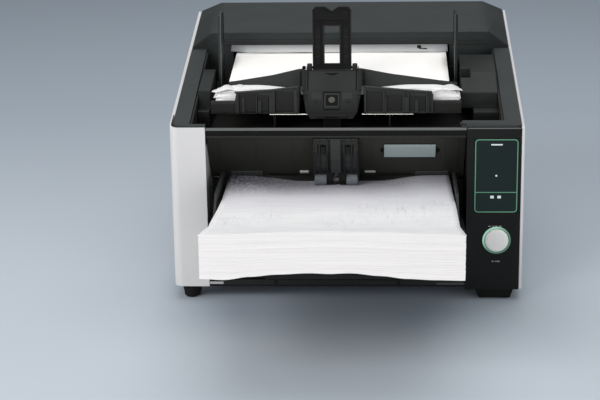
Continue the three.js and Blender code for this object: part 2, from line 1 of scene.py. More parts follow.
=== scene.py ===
import bpy, bmesh, math, random
from mathutils import Vector, Matrix, Euler


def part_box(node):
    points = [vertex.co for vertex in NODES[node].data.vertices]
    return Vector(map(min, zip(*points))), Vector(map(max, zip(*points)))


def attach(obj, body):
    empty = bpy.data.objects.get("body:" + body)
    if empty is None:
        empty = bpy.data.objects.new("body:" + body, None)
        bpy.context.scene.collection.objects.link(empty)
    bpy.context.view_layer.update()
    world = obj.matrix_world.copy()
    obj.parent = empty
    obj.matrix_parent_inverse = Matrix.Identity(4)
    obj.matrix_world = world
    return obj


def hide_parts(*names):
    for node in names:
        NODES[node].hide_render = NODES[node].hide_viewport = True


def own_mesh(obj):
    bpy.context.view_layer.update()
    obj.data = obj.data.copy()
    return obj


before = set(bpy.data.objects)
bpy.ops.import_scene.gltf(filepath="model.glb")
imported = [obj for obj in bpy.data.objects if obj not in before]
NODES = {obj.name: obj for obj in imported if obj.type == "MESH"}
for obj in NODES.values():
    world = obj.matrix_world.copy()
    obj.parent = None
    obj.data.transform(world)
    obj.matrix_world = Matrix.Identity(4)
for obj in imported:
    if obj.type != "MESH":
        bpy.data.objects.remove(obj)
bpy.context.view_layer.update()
rng = random.Random(7)

# The model's own front plane (y = 0 in the working measures below, millimetres)
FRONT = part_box("right_side_cover")[0][1]


# and the height of z = 0 in the same working measures, from the screen's lower edge
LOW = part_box("lcd_screen")[0][2] - 0.1143


def M(x, y, z):
    return (x / 1000.0, FRONT + y / 1000.0, LOW + z / 1000.0)


# ------------------------------------------------------------------ materials
def srgb(r, g, b):
    def f(c):
        c /= 255.0
        return c / 12.92 if c <= 0.04045 else ((c + 0.055) / 1.055) ** 2.4
    return (f(r), f(g), f(b), 1.0)


class Mat:
    """A small node graph helper round one Principled shader."""

    def __init__(self, name):
        self.m = bpy.data.materials.new(name)
        self.m.use_nodes = True
        self.t = self.m.node_tree
        self.b = self.t.nodes["Principled BSDF"]
        self.coord = self.t.nodes.new("ShaderNodeTexCoord")

    def node(self, kind, **kw):
        n = self.t.nodes.new(kind)
        for k, v in kw.items():
            setattr(n, k, v)
        return n

    def link(self, a, b):
        self.t.links.new(a, b)

    def mapped(self, scale=(1, 1, 1), rot=(0, 0, 0)):
        mp = self.node("ShaderNodeMapping")
        mp.inputs["Scale"].default_value = scale
        mp.inputs["Rotation"].default_value = rot
        self.link(self.coord.outputs["Object"], mp.inputs["Vector"])
        return mp.outputs["Vector"]

    def noise(self, scale, detail=3.0, rough=0.5, vec=None):
        n = self.node("ShaderNodeTexNoise")
        n.inputs["Scale"].default_value = scale
        n.inputs["Detail"].default_value = detail
        n.inputs["Roughness"].default_value = rough
        self.link(vec if vec is not None else self.coord.outputs["Object"], n.inputs["Vector"])
        return n.outputs["Fac"]

    def ramp(self, fac, stops):
        r = self.node("ShaderNodeValToRGB")
        el = r.color_ramp.elements
        el[0].position, el[0].color = stops[0]
        el[1].position, el[1].color = stops[-1]
        for p, c in stops[1:-1]:
            e = el.new(p)
            e.color = c
        self.link(fac, r.inputs["Fac"])
        return r.outputs["Color"]

    def mix(self, fac, a, b, mode="MIX"):
        n = self.node("ShaderNodeMix", data_type="RGBA", blend_type=mode)
        if isinstance(fac, (int, float)):
            n.inputs[0].default_value = fac
        else:
            self.link(fac, n.inputs[0])
        for sock, v in ((n.inputs[6], a), (n.inputs[7], b)):
            if isinstance(v, (tuple, list)):
                sock.default_value = v
            else:
                self.link(v, sock)
        return n.outputs[2]

    def maths(self, op, a, b=0.5, clamp=False):
        n = self.node("ShaderNodeMath", operation=op, use_clamp=clamp)
        for sock, v in ((n.inputs[0], a), (n.inputs[1], b)):
            if isinstance(v, (int, float)):
                sock.default_value = v
            else:
                self.link(v, sock)
        return n.outputs[0]

    def rng(self, fac, lo, hi, a=0.0, b=1.0):
        n = self.node("ShaderNodeMapRange")
        n.inputs["From Min"].default_value = a
        n.inputs["From Max"].default_value = b
        n.inputs["To Min"].default_value = lo
        n.inputs["To Max"].default_value = hi
        self.link(fac, n.inputs["Value"])
        return n.outputs["Result"]

    def sep(self):
        n = self.node("ShaderNodeSeparateXYZ")
        self.link(self.coord.outputs["Object"], n.inputs[0])
        return n.outputs

    def bump(self, height, strength=0.3, dist=0.0002, normal=None):
        n = self.node("ShaderNodeBump")
        n.inputs["Strength"].default_value = strength
        n.inputs["Distance"].default_value = dist
        self.link(height, n.inputs["Height"])
        if normal is not None:
            self.link(normal, n.inputs["Normal"])
        return n.outputs["Normal"]


def scaled(c, k):
    return (min(c[0] * k, 1), min(c[1] * k, 1), min(c[2] * k, 1), 1.0)


def plastic(name, col, rough=0.42, grain=2200.0, bump=0.12, vary=0.12, spec=0.22, edge=0.3, gloss_patch=0.05, dust=0.04, deep=None, sides=None):
    m = Mat(name)
    cloud = m.noise(9.0, 4.0, 0.6)
    fine = m.noise(grain, 2.0, 0.6)
    c = m.ramp(cloud, [(0.3, scaled(col, 1 - vary)), (0.7, scaled(col, 1 + vary))])
    if edge:
        geo = m.node("ShaderNodeNewGeometry")
        wear = m.rng(geo.outputs["Pointiness"], 0.0, edge, 0.505, 0.56)
        light = tuple(min(v * 1.9 + 0.015, 1) for v in col[:3]) + (1.0,)
        c = m.mix(wear, c, light)
    if dust:
        d = m.rng(m.noise(60.0, 5.0, 0.7), 0.0, dust, 0.55, 0.8)
        c = m.mix(d, c, tuple(min(v * 2 + 0.03, 1) for v in col[:3]) + (1.0,))
    if deep:
        # painted light and shade: below the height deep[0] the colour goes to deep[2] times its tone, darker on pieces
        # low in the stacker well (painted shade) and lighter on the hood's lower front (painted light)
        xyz = m.sep()
        k = m.rng(xyz[2], 1.0, 0.0, LOW + deep[0] / 1000.0, LOW + deep[1] / 1000.0)
        c = m.mix(k, c, scaled(col, deep[2]))
        lvl = m.rng(k, spec, spec * 0.15)
    if sides:
        # painted shade: from |x| = sides[0] to sides[1] the colour goes to sides[2] times its tone, darkening the
        # hood's outer ends
        xyz = m.sep()
        k = m.rng(m.maths("ABSOLUTE", xyz[0]), 0.0, 1.0, sides[0], sides[1])
        c = m.mix(k, c, scaled(col, sides[2]))
    m.link(c, m.b.inputs["Base Color"])
    m.link(m.rng(m.noise(14.0, 3.0), rough - gloss_patch, rough + gloss_patch, 0.3, 0.7), m.b.inputs["Roughness"])
    m.b.inputs["Specular IOR Level"].default_value = spec
    m.link(m.bump(fine, bump, 0.00006), m.b.inputs["Normal"])
    return m.m


def enamel(name, col):
    m = Mat(name)
    xyz = m.sep()
    cloud = m.noise(4.0, 3.0, 0.5)
    c = m.ramp(cloud, [(0.3, scaled(col, 0.975)), (0.7, scaled(col, 1.015))])
    # blotchy darkening towards the bottom of the covers
    low = m.rng(xyz[2], 0.35, 0.0, 0.0, 0.09)
    low_dark_blotches = m.maths("MULTIPLY", m.rng(m.noise(40.0, 5.0, 0.65), 0.0, 1.0, 0.45, 0.75), low)
    c = m.mix(low_dark_blotches, c, scaled(col, 0.72))
    m.link(c, m.b.inputs["Base Color"])
    m.link(m.rng(m.noise(30.0, 3.0), 0.36, 0.46, 0.3, 0.7), m.b.inputs["Roughness"])
    peel = m.noise(900.0, 2.0, 0.5)
    m.link(m.bump(peel, 0.08, 0.00008), m.b.inputs["Normal"])
    return m.m


def metal(name, col, rough=0.3, axis=0, brushed=True):
    m = Mat(name)
    sc = [600.0, 600.0, 600.0]
    sc[axis] = 12.0
    streak = m.noise(1.0, 4.0, 0.6, m.mapped(tuple(sc)))
    c = m.ramp(streak, [(0.3, scaled(col, 0.85)), (0.7, scaled(col, 1.1))])
    m.link(c, m.b.inputs["Base Color"])
    m.b.inputs["Metallic"].default_value = 1.0
    m.link(m.rng(streak, rough - 0.06, rough + 0.1, 0.3, 0.7), m.b.inputs["Roughness"])
    m.link(m.bump(streak, 0.08, 0.00004), m.b.inputs["Normal"])
    return m.m


def rubber(name, col, rough=0.75):
    m = Mat(name)
    c = m.ramp(m.noise(30.0, 4.0), [(0.3, scaled(col, 0.85)), (0.7, scaled(col, 1.2))])
    m.link(c, m.b.inputs["Base Color"])
    m.link(m.rng(m.noise(80.0, 2.0), rough - 0.08, rough + 0.1, 0.3, 0.7), m.b.inputs["Roughness"])
    m.b.inputs["Specular IOR Level"].default_value = 0.22
    m.link(m.bump(m.noise(1500.0, 3.0), 0.3, 0.0001), m.b.inputs["Normal"])
    return m.m


def glow(name, col, strength):
    m = Mat(name)
    n = m.rng(m.noise(120.0, 2.0), strength * 0.9, strength * 1.1, 0.3, 0.7)
    m.b.inputs["Base Color"].default_value = scaled(col, 0.4)
    m.b.inputs["Roughness"].default_value = 0.35
    m.b.inputs["Emission Color"].default_value = col
    m.link(n, m.b.inputs["Emission Strength"])
    return m.m


def paper_mat(name, col, lift=0.0):
    m = Mat(name)
    # lift is a painted glow: emission that makes the paper brighter than the lamps light it
    if lift:
        m.b.inputs["Emission Color"].default_value = (1.0, 0.995, 0.985, 1)
        m.b.inputs["Emission Strength"].default_value = lift
    cloud = m.noise(22.0, 3.0)
    c = m.ramp(cloud, [(0.3, scaled(col, 0.985)), (0.7, scaled(col, 1.01))])
    m.link(c, m.b.inputs["Base Color"])
    m.b.inputs["Roughness"].default_value = 0.9
    m.b.inputs["Specular IOR Level"].default_value = 0.25
    fib = m.noise(1400.0, 4.0, 0.7)
    m.link(m.bump(fib, 0.15, 0.00005), m.b.inputs["Normal"])
    return m.m


MAT = {
    "white": enamel("white_enamel", srgb(214, 213, 213)),
    "slate": plastic("slate_plastic", srgb(41, 46, 46), 0.46, vary=0.08),
    # hood: painted light on its lower front and painted shade at its outer ends; carriage, slate_deep and tray: painted
    # shade where they lie low in the stacker well
    "hood": plastic("hood_plastic", srgb(37, 42, 42), 0.46, vary=0.08, deep=(300, 304, 1.3), sides=(0.188, 0.206, 0.6)),
    "carriage": plastic("carriage_plastic", srgb(39, 41, 41), 0.42, vary=0.16, deep=(234, 262, 0.22)),
    "slate_deep": plastic("slate_deep_plastic", srgb(32, 35, 34), 0.5, vary=0.1, deep=(222, 236, 0.3)),
    "dark": plastic("dark_plastic", srgb(38, 40, 40), 0.42, vary=0.12),
    "tray": plastic("tray_plastic", srgb(38, 40, 40), 0.42, vary=0.12, deep=(228, 232, 0.35)),
    "darker": plastic("darker_plastic", srgb(21, 21, 20), 0.44, vary=0.12),
    "arm": plastic("stopper_arm_plastic", srgb(9, 9, 8), 0.5, vary=0.12, edge=0.15, spec=0.14),
    "black": plastic("black_plastic", srgb(8, 8, 7), 0.5, vary=0.12, edge=0.15, spec=0.18),
    "pit": plastic("well_plastic", srgb(8, 7, 6), 0.6, vary=0.15, edge=0.1, spec=0.14),
    "well": plastic("well_floor_plastic", srgb(38, 38, 36), 0.6, vary=0.15, edge=0.1, spec=0.2),
    "panel": plastic("panel_plastic", srgb(8, 8, 7), 0.34, grain=3000, bump=0.05, vary=0.08, edge=0.15, spec=0.2),
    "adf": plastic("feed_panel_plastic", srgb(46, 46, 42), 0.38, vary=0.12, edge=0.15),
    "steel": metal("zinc_steel", (0.62, 0.63, 0.64, 1), 0.32, 0),
    "rubber": rubber("foot_rubber", srgb(13, 13, 13)),
    "roller": rubber("feed_rubber", srgb(97, 102, 106), 0.7),
    "button": plastic("button_plastic", srgb(240, 237, 234), 0.35, grain=1500, bump=0.04, vary=0.03, edge=0.0, dust=0.02),
    "lever": plastic("lever_plastic", srgb(146, 158, 159), 0.38, vary=0.04, edge=0.1),
    "board": plastic("board_lacquer", srgb(26, 84, 52), 0.35, vary=0.15),
    "paper": paper_mat("office_paper", (0.87, 0.865, 0.86, 1)),
    # lighter copies of the paper with a painted glow: painted light on the slumped sheets and on the stacker's top
    # sheet
    "paper_painted_light": paper_mat("painted_light_paper", (0.95, 0.945, 0.95, 1), 0.035),
    "paper_top": paper_mat("lit_paper", (0.98, 0.97, 0.945, 1), 0.10),
    "paper_shade": paper_mat("shaded_paper", (0.52, 0.53, 0.54, 1)),
    "green_glow": glow("green_light", (0.16, 0.46, 0.28, 1), 0.22),
    "white_glow": glow("white_light", (0.8, 0.84, 0.83, 1), 0.5),
    "grey_mark": plastic("mark_ink", srgb(150, 152, 150), 0.5, grain=900, bump=0.02, vary=0.05, edge=0.0, dust=0.0),
    "light_tab": plastic("tab_plastic", srgb(176, 178, 178), 0.4, vary=0.05, edge=0.0),
    "grey_plate": plastic("plate_plastic", srgb(58, 60, 60), 0.42, vary=0.08),
}


def screen_mat():
    m = Mat("display_glass")
    c = m.ramp(m.noise(6.0, 2.0), [(0.3, (0.002, 0.006, 0.006, 1)), (0.7, (0.004, 0.009, 0.009, 1))])
    m.b.inputs["Specular IOR Level"].default_value = 0.23
    m.link(c, m.b.inputs["Base Color"])
    m.link(m.rng(m.noise(50.0, 3.0), 0.1, 0.2, 0.3, 0.7), m.b.inputs["Roughness"])
    m.b.inputs["Emission Color"].default_value = (0.004, 0.012, 0.010, 1)
    m.b.inputs["Emission Strength"].default_value = 0.5
    return m.m


def glass_mat():
    m = Mat("reading_glass")
    m.b.inputs["Base Color"].default_value = (0.72, 0.82, 0.83, 1)
    m.link(m.rng(m.noise(60.0, 3.0), 0.03, 0.09, 0.3, 0.7), m.b.inputs["Roughness"])
    m.b.inputs["Transmission Weight"].default_value = 0.9
    m.b.inputs["IOR"].default_value = 1.5
    return m.m


MAT["screen"] = screen_mat()
MAT["glass"] = glass_mat()

def print_mat():
    """The uppermost sheet: pale paper with faint ruled lines and grey patches, no lettering; painted shade darkens its
    rear, and a dark blotch at its rear left is part print, part painted shadow.
    """
    m = Mat("ruled_paper")
    base = m.ramp(m.noise(22.0, 3.0), [(0.3, (0.85, 0.85, 0.86, 1)), (0.7, (0.90, 0.90, 0.905, 1))])
    zone = m.rng(m.noise(7.0, 3.0, 0.6), 0.0, 1.0, 0.46, 0.62)
    columns = m.rng(m.noise(1.0, 2.0, 0.5, m.mapped((300, 26, 1))), 0.0, 0.30, 0.56, 0.70)
    rows = m.rng(m.noise(1.0, 2.0, 0.5, m.mapped((10, 260, 1), (0, 0, 0.04))), 0.0, 0.22, 0.57, 0.70)
    curve = m.node("ShaderNodeTexWave")
    curve.inputs["Scale"].default_value = 9.0
    curve.inputs["Distortion"].default_value = 14.0
    curve.inputs["Detail"].default_value = 1.5
    m.link(m.coord.outputs["Object"], curve.inputs["Vector"])
    strokes = m.maths("MULTIPLY", m.rng(curve.outputs["Fac"], 0.0, 0.13, 0.88, 0.985), zone)
    ink = m.maths("MAXIMUM", m.maths("MULTIPLY", columns, zone), m.maths("MAXIMUM", rows, strokes))
    xyz = m.sep()
    ink = m.maths("MULTIPLY", ink, m.rng(xyz[1], 0.15, 1.0, FRONT - 0.325, FRONT - 0.24))
    c = m.mix(ink, base, (0.34, 0.355, 0.41, 1))
    # painted shade towards the rear, under the feed panel
    c = m.mix(m.rng(xyz[1], 0.0, 1.0, FRONT - 0.145, FRONT + 0.015), c, (0.64, 0.64, 0.70, 1), "MULTIPLY")
    # rear left: a dark blotch, part print and part painted shadow
    near = m.maths("MULTIPLY", m.rng(xyz[1], 0.0, 1.0, FRONT - 0.055, FRONT + 0.03), m.rng(xyz[0], 1.0, 0.15, -0.135, -0.02))
    ink_and_shadow_blot = m.rng(m.noise(1.0, 4.0, 0.7, m.mapped((260, 90, 1))), 0.58, 1.0, 0.36, 0.6)
    c = m.mix(m.maths("MULTIPLY", near, ink_and_shadow_blot), c, (0.035, 0.037, 0.055, 1))
    m.link(c, m.b.inputs["Base Color"])
    m.link(m.rng(m.noise(50.0, 2.0), 0.86, 0.92, 0.3, 0.7), m.b.inputs["Roughness"])
    m.b.inputs["Specular IOR Level"].default_value = 0.2
    return m.m


def edge_mat():
    """Cut edges of a pile: warm white with fine grey streaks along the sheets."""
    m = Mat("sheet_edges")
    streak = m.noise(1.0, 4.0, 0.7, m.mapped((9, 9, 1500)))
    c = m.ramp(streak, [(0.25, (0.79, 0.765, 0.76, 1)), (0.5, (0.90, 0.87, 0.86, 1)), (0.75, (0.94, 0.91, 0.90, 1))])
    m.link(c, m.b.inputs["Base Color"])
    m.link(m.rng(m.noise(50.0, 2.0), 0.86, 0.94, 0.3, 0.7), m.b.inputs["Roughness"])
    m.b.inputs["Specular IOR Level"].default_value = 0.2
    m.link(m.bump(streak, 0.3, 0.0001), m.b.inputs["Normal"])
    return m.m


MAT["print"] = print_mat()
MAT["paper_edge"] = edge_mat()
# light plastic for thin strips on top front edges: painted highlight
MAT["painted_highlight_strip"] = plastic("ridge_highlight_plastic", srgb(100, 102, 102), 0.35, vary=0.05, edge=0.0)
MAT["ridge_low"] = plastic("ridge_low_plastic", srgb(42, 43, 42), 0.4, vary=0.05, edge=0.0)


def curl_mat():
    """Sheet still in the exit slot: shaded by the hood, darker towards its ends."""
    m = Mat("curled_paper")
    xyz = m.sep()
    l = m.rng(xyz[0], 0.0, 1.0, -0.172, -0.146)
    r = m.rng(xyz[0], 1.0, 0.55, 0.118, 0.139)
    h = m.rng(xyz[2], 1.0, 0.62, LOW + 0.2775, LOW + 0.2835)
    k = m.maths("MULTIPLY", m.maths("MULTIPLY", l, r), m.maths("MULTIPLY", h, m.rng(xyz[0], 1.0, 0.88, -0.03, 0.03)))
    c = m.ramp(k, [(0.0, (0.10, 0.105, 0.11, 1)), (0.6, (0.34, 0.35, 0.36, 1)), (1.0, (0.62, 0.63, 0.63, 1))])
    m.link(c, m.b.inputs["Base Color"])
    m.link(m.rng(m.noise(50.0, 2.0), 0.86, 0.92, 0.3, 0.7), m.b.inputs["Roughness"])
    m.b.inputs["Specular IOR Level"].default_value = 0.2
    return m.m


MAT["curl"] = curl_mat()
MAT["knob"] = plastic("knob_plastic", srgb(84, 84, 78), 0.4, vary=0.06, edge=0.0)
MAT["guide_edge"] = plastic("guide_edge_plastic", srgb(96, 102, 103), 0.35, vary=0.05, edge=0.0)
MAT["slate_rear"] = plastic("rear_detail_plastic", srgb(52, 57, 57), 0.45, vary=0.08)
MAT["wire"] = metal("bright_wire", (0.80, 0.78, 0.72, 1), 0.22, 0)


def halo_mat():
    """Green light guide, brighter at its upper left."""
    m = Mat("button_halo")
    xyz = m.sep()
    g = m.maths("SUBTRACT", xyz[2], xyz[0])
    f = m.rng(g, 0.15, 1.0, HALO_MID - 0.018, HALO_MID + 0.018)
    m.b.inputs["Base Color"].default_value = (0.12, 0.22, 0.16, 1)
    m.b.inputs["Roughness"].default_value = 0.3
    m.link(m.ramp(f, [(0.0, (0.02, 0.09, 0.05, 1)), (0.55, (0.08, 0.24, 0.15, 1)), (1.0, (0.42, 0.80, 0.60, 1))]), m.b.inputs["Emission Color"])
    m.link(m.rng(f, 0.25, 0.6), m.b.inputs["Emission Strength"])
    return m.m


_c = M(196, 0, 76.7)
HALO_MID = _c[2] - _c[0]
MAT["halo"] = halo_mat()

LOOK = {
    "base_pan": ("black", 0.8), "foot_front_left": ("rubber", 4.0), "foot_front_right": ("rubber", 2.5),
    "foot_rear_left": ("rubber", 1.2), "foot_rear_right": ("rubber", 1.2),
    "chassis_plate_left": ("steel", 0.2), "chassis_plate_right": ("steel", 0.2),
    "left_side_cover": ("white", 1.0), "right_side_cover": ("white", 1.2),
    "operator_panel_housing": ("panel", 1.0), "lcd_screen": ("screen", 0.5),
    "button_light_ring": ("green_glow", 0.3), "scan_button": ("button", 0.3),
    "front_lower_cover": ("panel", 0.8), "hopper_rear_wall": ("dark", 0.4),
    "rear_cover": ("slate_deep", 0.9), "ac_inlet": ("black", 0.4), "interface_ports": ("steel", 0.3),
    "fan_frame": ("black", 0.8), "fan_rotor": ("black", 0.3), "main_circuit_board": ("board", 0.1),
    "power_supply": ("steel", 0.8), "drive_motor": ("steel", 0.6), "motor_pulley": ("steel", 0.4),
    "drive_belt": ("rubber", 0.2), "lower_feed_roller": ("roller", 0.5),
    "transport_roller_front": ("roller", 0.5), "transport_roller_rear": ("roller", 0.5),
    "lower_reading_unit": ("black", 0.8), "lower_scan_glass": ("glass", 0.2),
    "lower_turn_guide": ("dark", 0.3), "stacker_surround": ("slate", 0.9),
    "adf_front_panel": ("adf", 0.8), "hinge_shaft": ("steel", 0.3), "hood": ("hood", 1.6),
    "well_liner": ("well", 0.6), "left_side_block": ("slate_deep", 1.2), "right_side_block": ("slate_deep", 1.2),
    "stacker_tray": ("tray", 0.5), "stopper_carriage": ("carriage", 0.9), "stopper_latch": ("dark", 0.5),
    "stopper_arm": ("arm", 0.7), "stacker_guide_left": ("dark", 0.8), "stacker_guide_right": ("darker", 0.8),
    "output_paper": ("paper", 0.0), "upper_reading_unit": ("black", 0.8), "upper_scan_glass": ("glass", 0.2),
    "upper_turn_guide": ("dark", 0.3), "exit_roller": ("roller", 0.4), "pick_arm": ("dark", 0.7),
    "pick_roller": ("roller", 0.5), "release_lever": ("lever", 0.6), "hopper_tray": ("darker", 0.5),
    "hopper_extension": ("black", 0.4), "hopper_guide_left": ("dark", 0.6), "hopper_guide_right": ("dark", 0.6),
    "hopper_paper": ("paper", 0.0),
}


HOLED = {"operator_panel_housing", "rear_cover", "hood", "well_liner", "fan_frame", "chassis_plate_left", "chassis_plate_right"}


def refine(o, width):
    """Welds, merges coplanar faces and rounds the edges of a node, without touching its mesh."""
    w = o.modifiers.new("weld", "WELD")
    w.merge_threshold = 0.00001
    if o.name not in HOLED:
        d = o.modifiers.new("planar", "DECIMATE")
        d.decimate_type = "DISSOLVE"
        d.angle_limit = math.radians(0.6)
    if width > 0:
        b = o.modifiers.new("round", "BEVEL")
        b.width = width / 1000.0
        b.segments = 3
        b.limit_method = "ANGLE"
        b.angle_limit = math.radians(32)
        b.use_clamp_overlap = True
        b.harden_normals = False
        b.miter_outer = "MITER_ARC"


for name, o in NODES.items():
    key, width = LOOK[name]
    o.data.materials.clear()
    o.data.materials.append(MAT[key])
    refine(o, width)


# ------------------------------------------------------------ piece builders
def new_obj(name, verts, faces, mat, body, smooth=False, bevel=0.0, seg=2):
    me = bpy.data.meshes.new(name)
    me.from_pydata([M(*v) for v in verts], [], faces)
    me.validate()
    o = bpy.data.objects.new(name, me)
    bpy.context.scene.collection.objects.link(o)
    bm = bmesh.new()
    bm.from_mesh(me)
    bmesh.ops.remove_doubles(bm, verts=bm.verts, dist=1e-7)
    bmesh.ops.recalc_face_normals(bm, faces=bm.faces)
    bm.to_mesh(me)
    bm.free()
    if smooth:
        for p in me.polygons:
            p.use_smooth = True
    me.materials.append(MAT[mat] if isinstance(mat, str) else mat)
    if bevel:
        b = o.modifiers.new("round", "BEVEL")
        b.width = bevel / 1000.0
        b.segments = seg
        b.limit_method = "ANGLE"
        b.angle_limit = math.radians(32)
    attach(o, body)
    return o


def solid_of(pts, thick_vec):
    """A closed prism of an outline given as 3-D points, pushed along a vector."""
    n = len(pts)
    a = [tuple(p) for p in pts]
    b = [tuple(p[i] + thick_vec[i] for i in range(3)) for p in pts]
    faces = [list(range(n)), list(range(2 * n - 1, n - 1, -1))]
    for i in range(n):
        j = (i + 1) % n
        faces.append([i, i + n, j + n, j])
    return a + b, faces


def prism(name, pts, vec, mat, body, bevel=0.3, seg=2):
    v, f = solid_of(pts, vec)
    return new_obj(name, v, f, mat, body, bevel=bevel, seg=seg)


def rect_round(x0, x1, z0, z1, r, n=6):
    out = []
    for cx, cz, a0 in ((x1 - r, z1 - r, 0), (x0 + r, z1 - r, 90), (x0 + r, z0 + r, 180), (x1 - r, z0 + r, 270)):
        for i in range(n + 1):
            t = math.radians(a0 + 90.0 * i / n)
            out.append((cx + r * math.cos(t), cz + r * math.sin(t)))
    return out


def frame_xz(name, x0, x1, z0, z1, r, w, y0, y1, mat, body):
    """A rounded rectangular line frame facing the front."""
    a = rect_round(x0, x1, z0, z1, r)
    b = rect_round(x0 + w, x1 - w, z0 + w, z1 - w, max(r - w, 0.2))
    n = len(a)
    verts = [(x, y0, z) for x, z in a] + [(x, y0, z) for x, z in b] + [(x, y1, z) for x, z in a] + [(x, y1, z) for x, z in b]
    faces = []
    for i in range(n):
        j = (i + 1) % n
        faces.append([i, j, n + j, n + i])
        faces.append([2 * n + i, 3 * n + i, 3 * n + j, 2 * n + j])
        faces.append([i, 2 * n + i, 2 * n + j, j])
        faces.append([n + i, n + j, 3 * n + j, 3 * n + i])
    return new_obj(name, verts, faces, mat, body)


def rbox(name, x0, x1, y0, y1, z0, z1, mat, body, bevel=0.4, seg=2):
    return prism(name, [(x0, y0, z0), (x1, y0, z0), (x1, y0, z1), (x0, y0, z1)], (0, y1 - y0, 0), mat, body, bevel, seg)


def disc(name, centre, axis, r, depth, mat, body, n=32, bevel=0.3):
    ax = Vector(axis).normalized()
    u = ax.orthogonal().normalized()
    w = ax.cross(u)
    c = Vector(centre)
    pts = [tuple(c + u * (r * math.cos(2 * math.pi * i / n)) + w * (r * math.sin(2 * math.pi * i / n))) for i in range(n)]
    return prism(name, pts, tuple(ax * depth), mat, body, bevel)


def screw(name, centre, axis, r, body):
    """Pan head screw with a cross recess."""
    ax = Vector(axis).normalized()
    u = ax.orthogonal().normalized()
    w = ax.cross(u)
    c = Vector(centre)
    n = 20
    prof = [(1.0, 0.0), (1.0, 0.35), (0.86, 0.62), (0.55, 0.78), (0.42, 0.8)]
    verts, faces = [], []
    for k, (pr, ph) in enumerate(prof):
        for i in range(n):
            t = 2 * math.pi * i / n
            verts.append(tuple(c + (u * math.cos(t) + w * math.sin(t)) * (r * pr) + ax * (r * ph)))
    for k in range(len(prof) - 1):
        for i in range(n):
            j = (i + 1) % n
            faces.append([k * n + i, k * n + j, (k + 1) * n + j, (k + 1) * n + i])
    base = (len(prof) - 1) * n
    low = len(verts)
    for i in range(n):
        t = 2 * math.pi * i / n
        k = 0.42 if (i % 5 in (0,)) else 0.16
        verts.append(tuple(c + (u * math.cos(t) + w * math.sin(t)) * (r * k) + ax * (r * (0.72 if k > 0.3 else 0.3))))
    for i in range(n):
        j = (i + 1) % n
        faces.append([base + i, base + j, low + j, low + i])
    verts.append(tuple(c + ax * (r * 0.25)))
    for i in range(n):
        faces.append([low + i, low + (i + 1) % n, len(verts) - 1])
    faces.append(list(range(n - 1, -1, -1)))
    return new_obj(name, verts, faces, "steel", body)


# ------------------------------------------------------- camera, light, floor
cam_data = bpy.data.cameras.new("camera")
cam = bpy.data.objects.new("camera", cam_data)
bpy.context.scene.collection.objects.link(cam)
cam.location = M(47.9, -2102.9, 764.8)
yaw, pitch, roll = math.radians(2.96), math.radians(16.73), math.radians(-0.87)
fwd = Vector((-math.sin(yaw) * math.cos(pitch), math.cos(yaw) * math.cos(pitch), -math.sin(pitch)))
right = Vector((math.cos(yaw), math.sin(yaw), 0.0))
up = right.cross(fwd)
r2 = right * math.cos(roll) + up * math.sin(roll)
u2 = up * math.cos(roll) - right * math.sin(roll)
rot = Matrix((r2, u2, -fwd)).transposed()
cam.rotation_euler = rot.to_euler()
cam_data.sensor_width = 36.0
cam_data.lens = 1682.0 / 600.0 * 36.0
cam_data.clip_start = 0.05
cam_data.clip_end = 50.0
bpy.context.scene.camera = cam

scene = bpy.context.scene
scene.view_settings.view_transform = "Standard"
scene.view_settings.look = "None"
scene.view_settings.exposure = 0.0


def floor_mat():
    m = Mat("studio_floor")
    xyz = m.sep()
    # painted light falloff: the floor darkens from front to back
    f = m.rng(xyz[1], 0.0, 1.0, -0.9, 2.2)
    c = m.ramp(f, [(0.0, (0.60, 0.66, 0.725, 1)), (0.3, (0.54, 0.60, 0.665, 1)), (0.62, (0.41, 0.47, 0.535, 1)), (1.0, (0.37, 0.43, 0.495, 1))])
    # painted shadow: a darker patch on the floor under the machine's front
    ax = m.maths("ABSOLUTE", m.maths("SUBTRACT", xyz[0], -0.01))
    under = m.maths("MULTIPLY", m.rng(xyz[1], 0.0, 1.0, FRONT - 0.16, FRONT - 0.05), m.rng(ax, 1.0, 0.0, 0.14, 0.25))
    under = m.maths("MULTIPLY", under, m.rng(xyz[1], 1.0, 0.0, FRONT + 0.1, FRONT + 0.35))
    c = m.mix(under, c, (0.76, 0.79, 0.84, 1), "MULTIPLY")
    m.link(c, m.b.inputs["Base Color"])
    m.link(m.rng(m.noise(3.0, 3.0), 0.55, 0.62, 0.3, 0.7), m.b.inputs["Roughness"])
    m.b.inputs["Specular IOR Level"].default_value = 0.25
    return m.m


fm = bpy.data.meshes.new("floor")
fm.from_pydata([(-7, -5, 0), (7, -5, 0), (7, 9, 0), (-7, 9, 0)], [], [(0, 1, 2, 3)])
floor = bpy.data.objects.new("floor", fm)
scene.collection.objects.link(floor)
floor.data.materials.append(floor_mat())


def area(name, loc, target, size, power, color=(1, 1, 1), size_y=None):
    l = bpy.data.lights.new(name, "AREA")
    l.energy = power
    l.color = color
    l.size = size
    if size_y:
        l.shape = "RECTANGLE"
        l.size_y = size_y
    o = bpy.data.objects.new(name, l)
    scene.collection.objects.link(o)
    o.location = loc
    o.rotation_euler = (Vector(target) - Vector(loc)).to_track_quat("-Z", "Y").to_euler()
    return o


area("key", (-1.9, -2.5, 2.2), (0, 0, 0.15), 1.6, 50, (1.0, 0.965, 0.93))
area("side", (-2.6, -0.9, 0.9), (-0.1, 0, 0.15), 1.2, 15, (1.0, 0.98, 0.96))
area("top", (0.2, 0.4, 2.4), (0, 0, 0.2), 2.4, 26, (1.0, 0.985, 0.97))
area("fill", (1.9, -2.2, 1.0), (0, 0, 0.15), 1.5, 13, (1.0, 0.98, 0.96))
area("front", (-0.2, -3.2, 0.6), (0, -0.2, 0.15), 1.4, 16, (1, 0.98, 0.96))
world = bpy.data.worlds.new("world")
scene.world = world
world.use_nodes = True
bg = world.node_tree.nodes["Background"]
bg.inputs["Color"].default_value = (0.76, 0.80, 0.84, 1)
bg.inputs["Strength"].default_value = 0.42

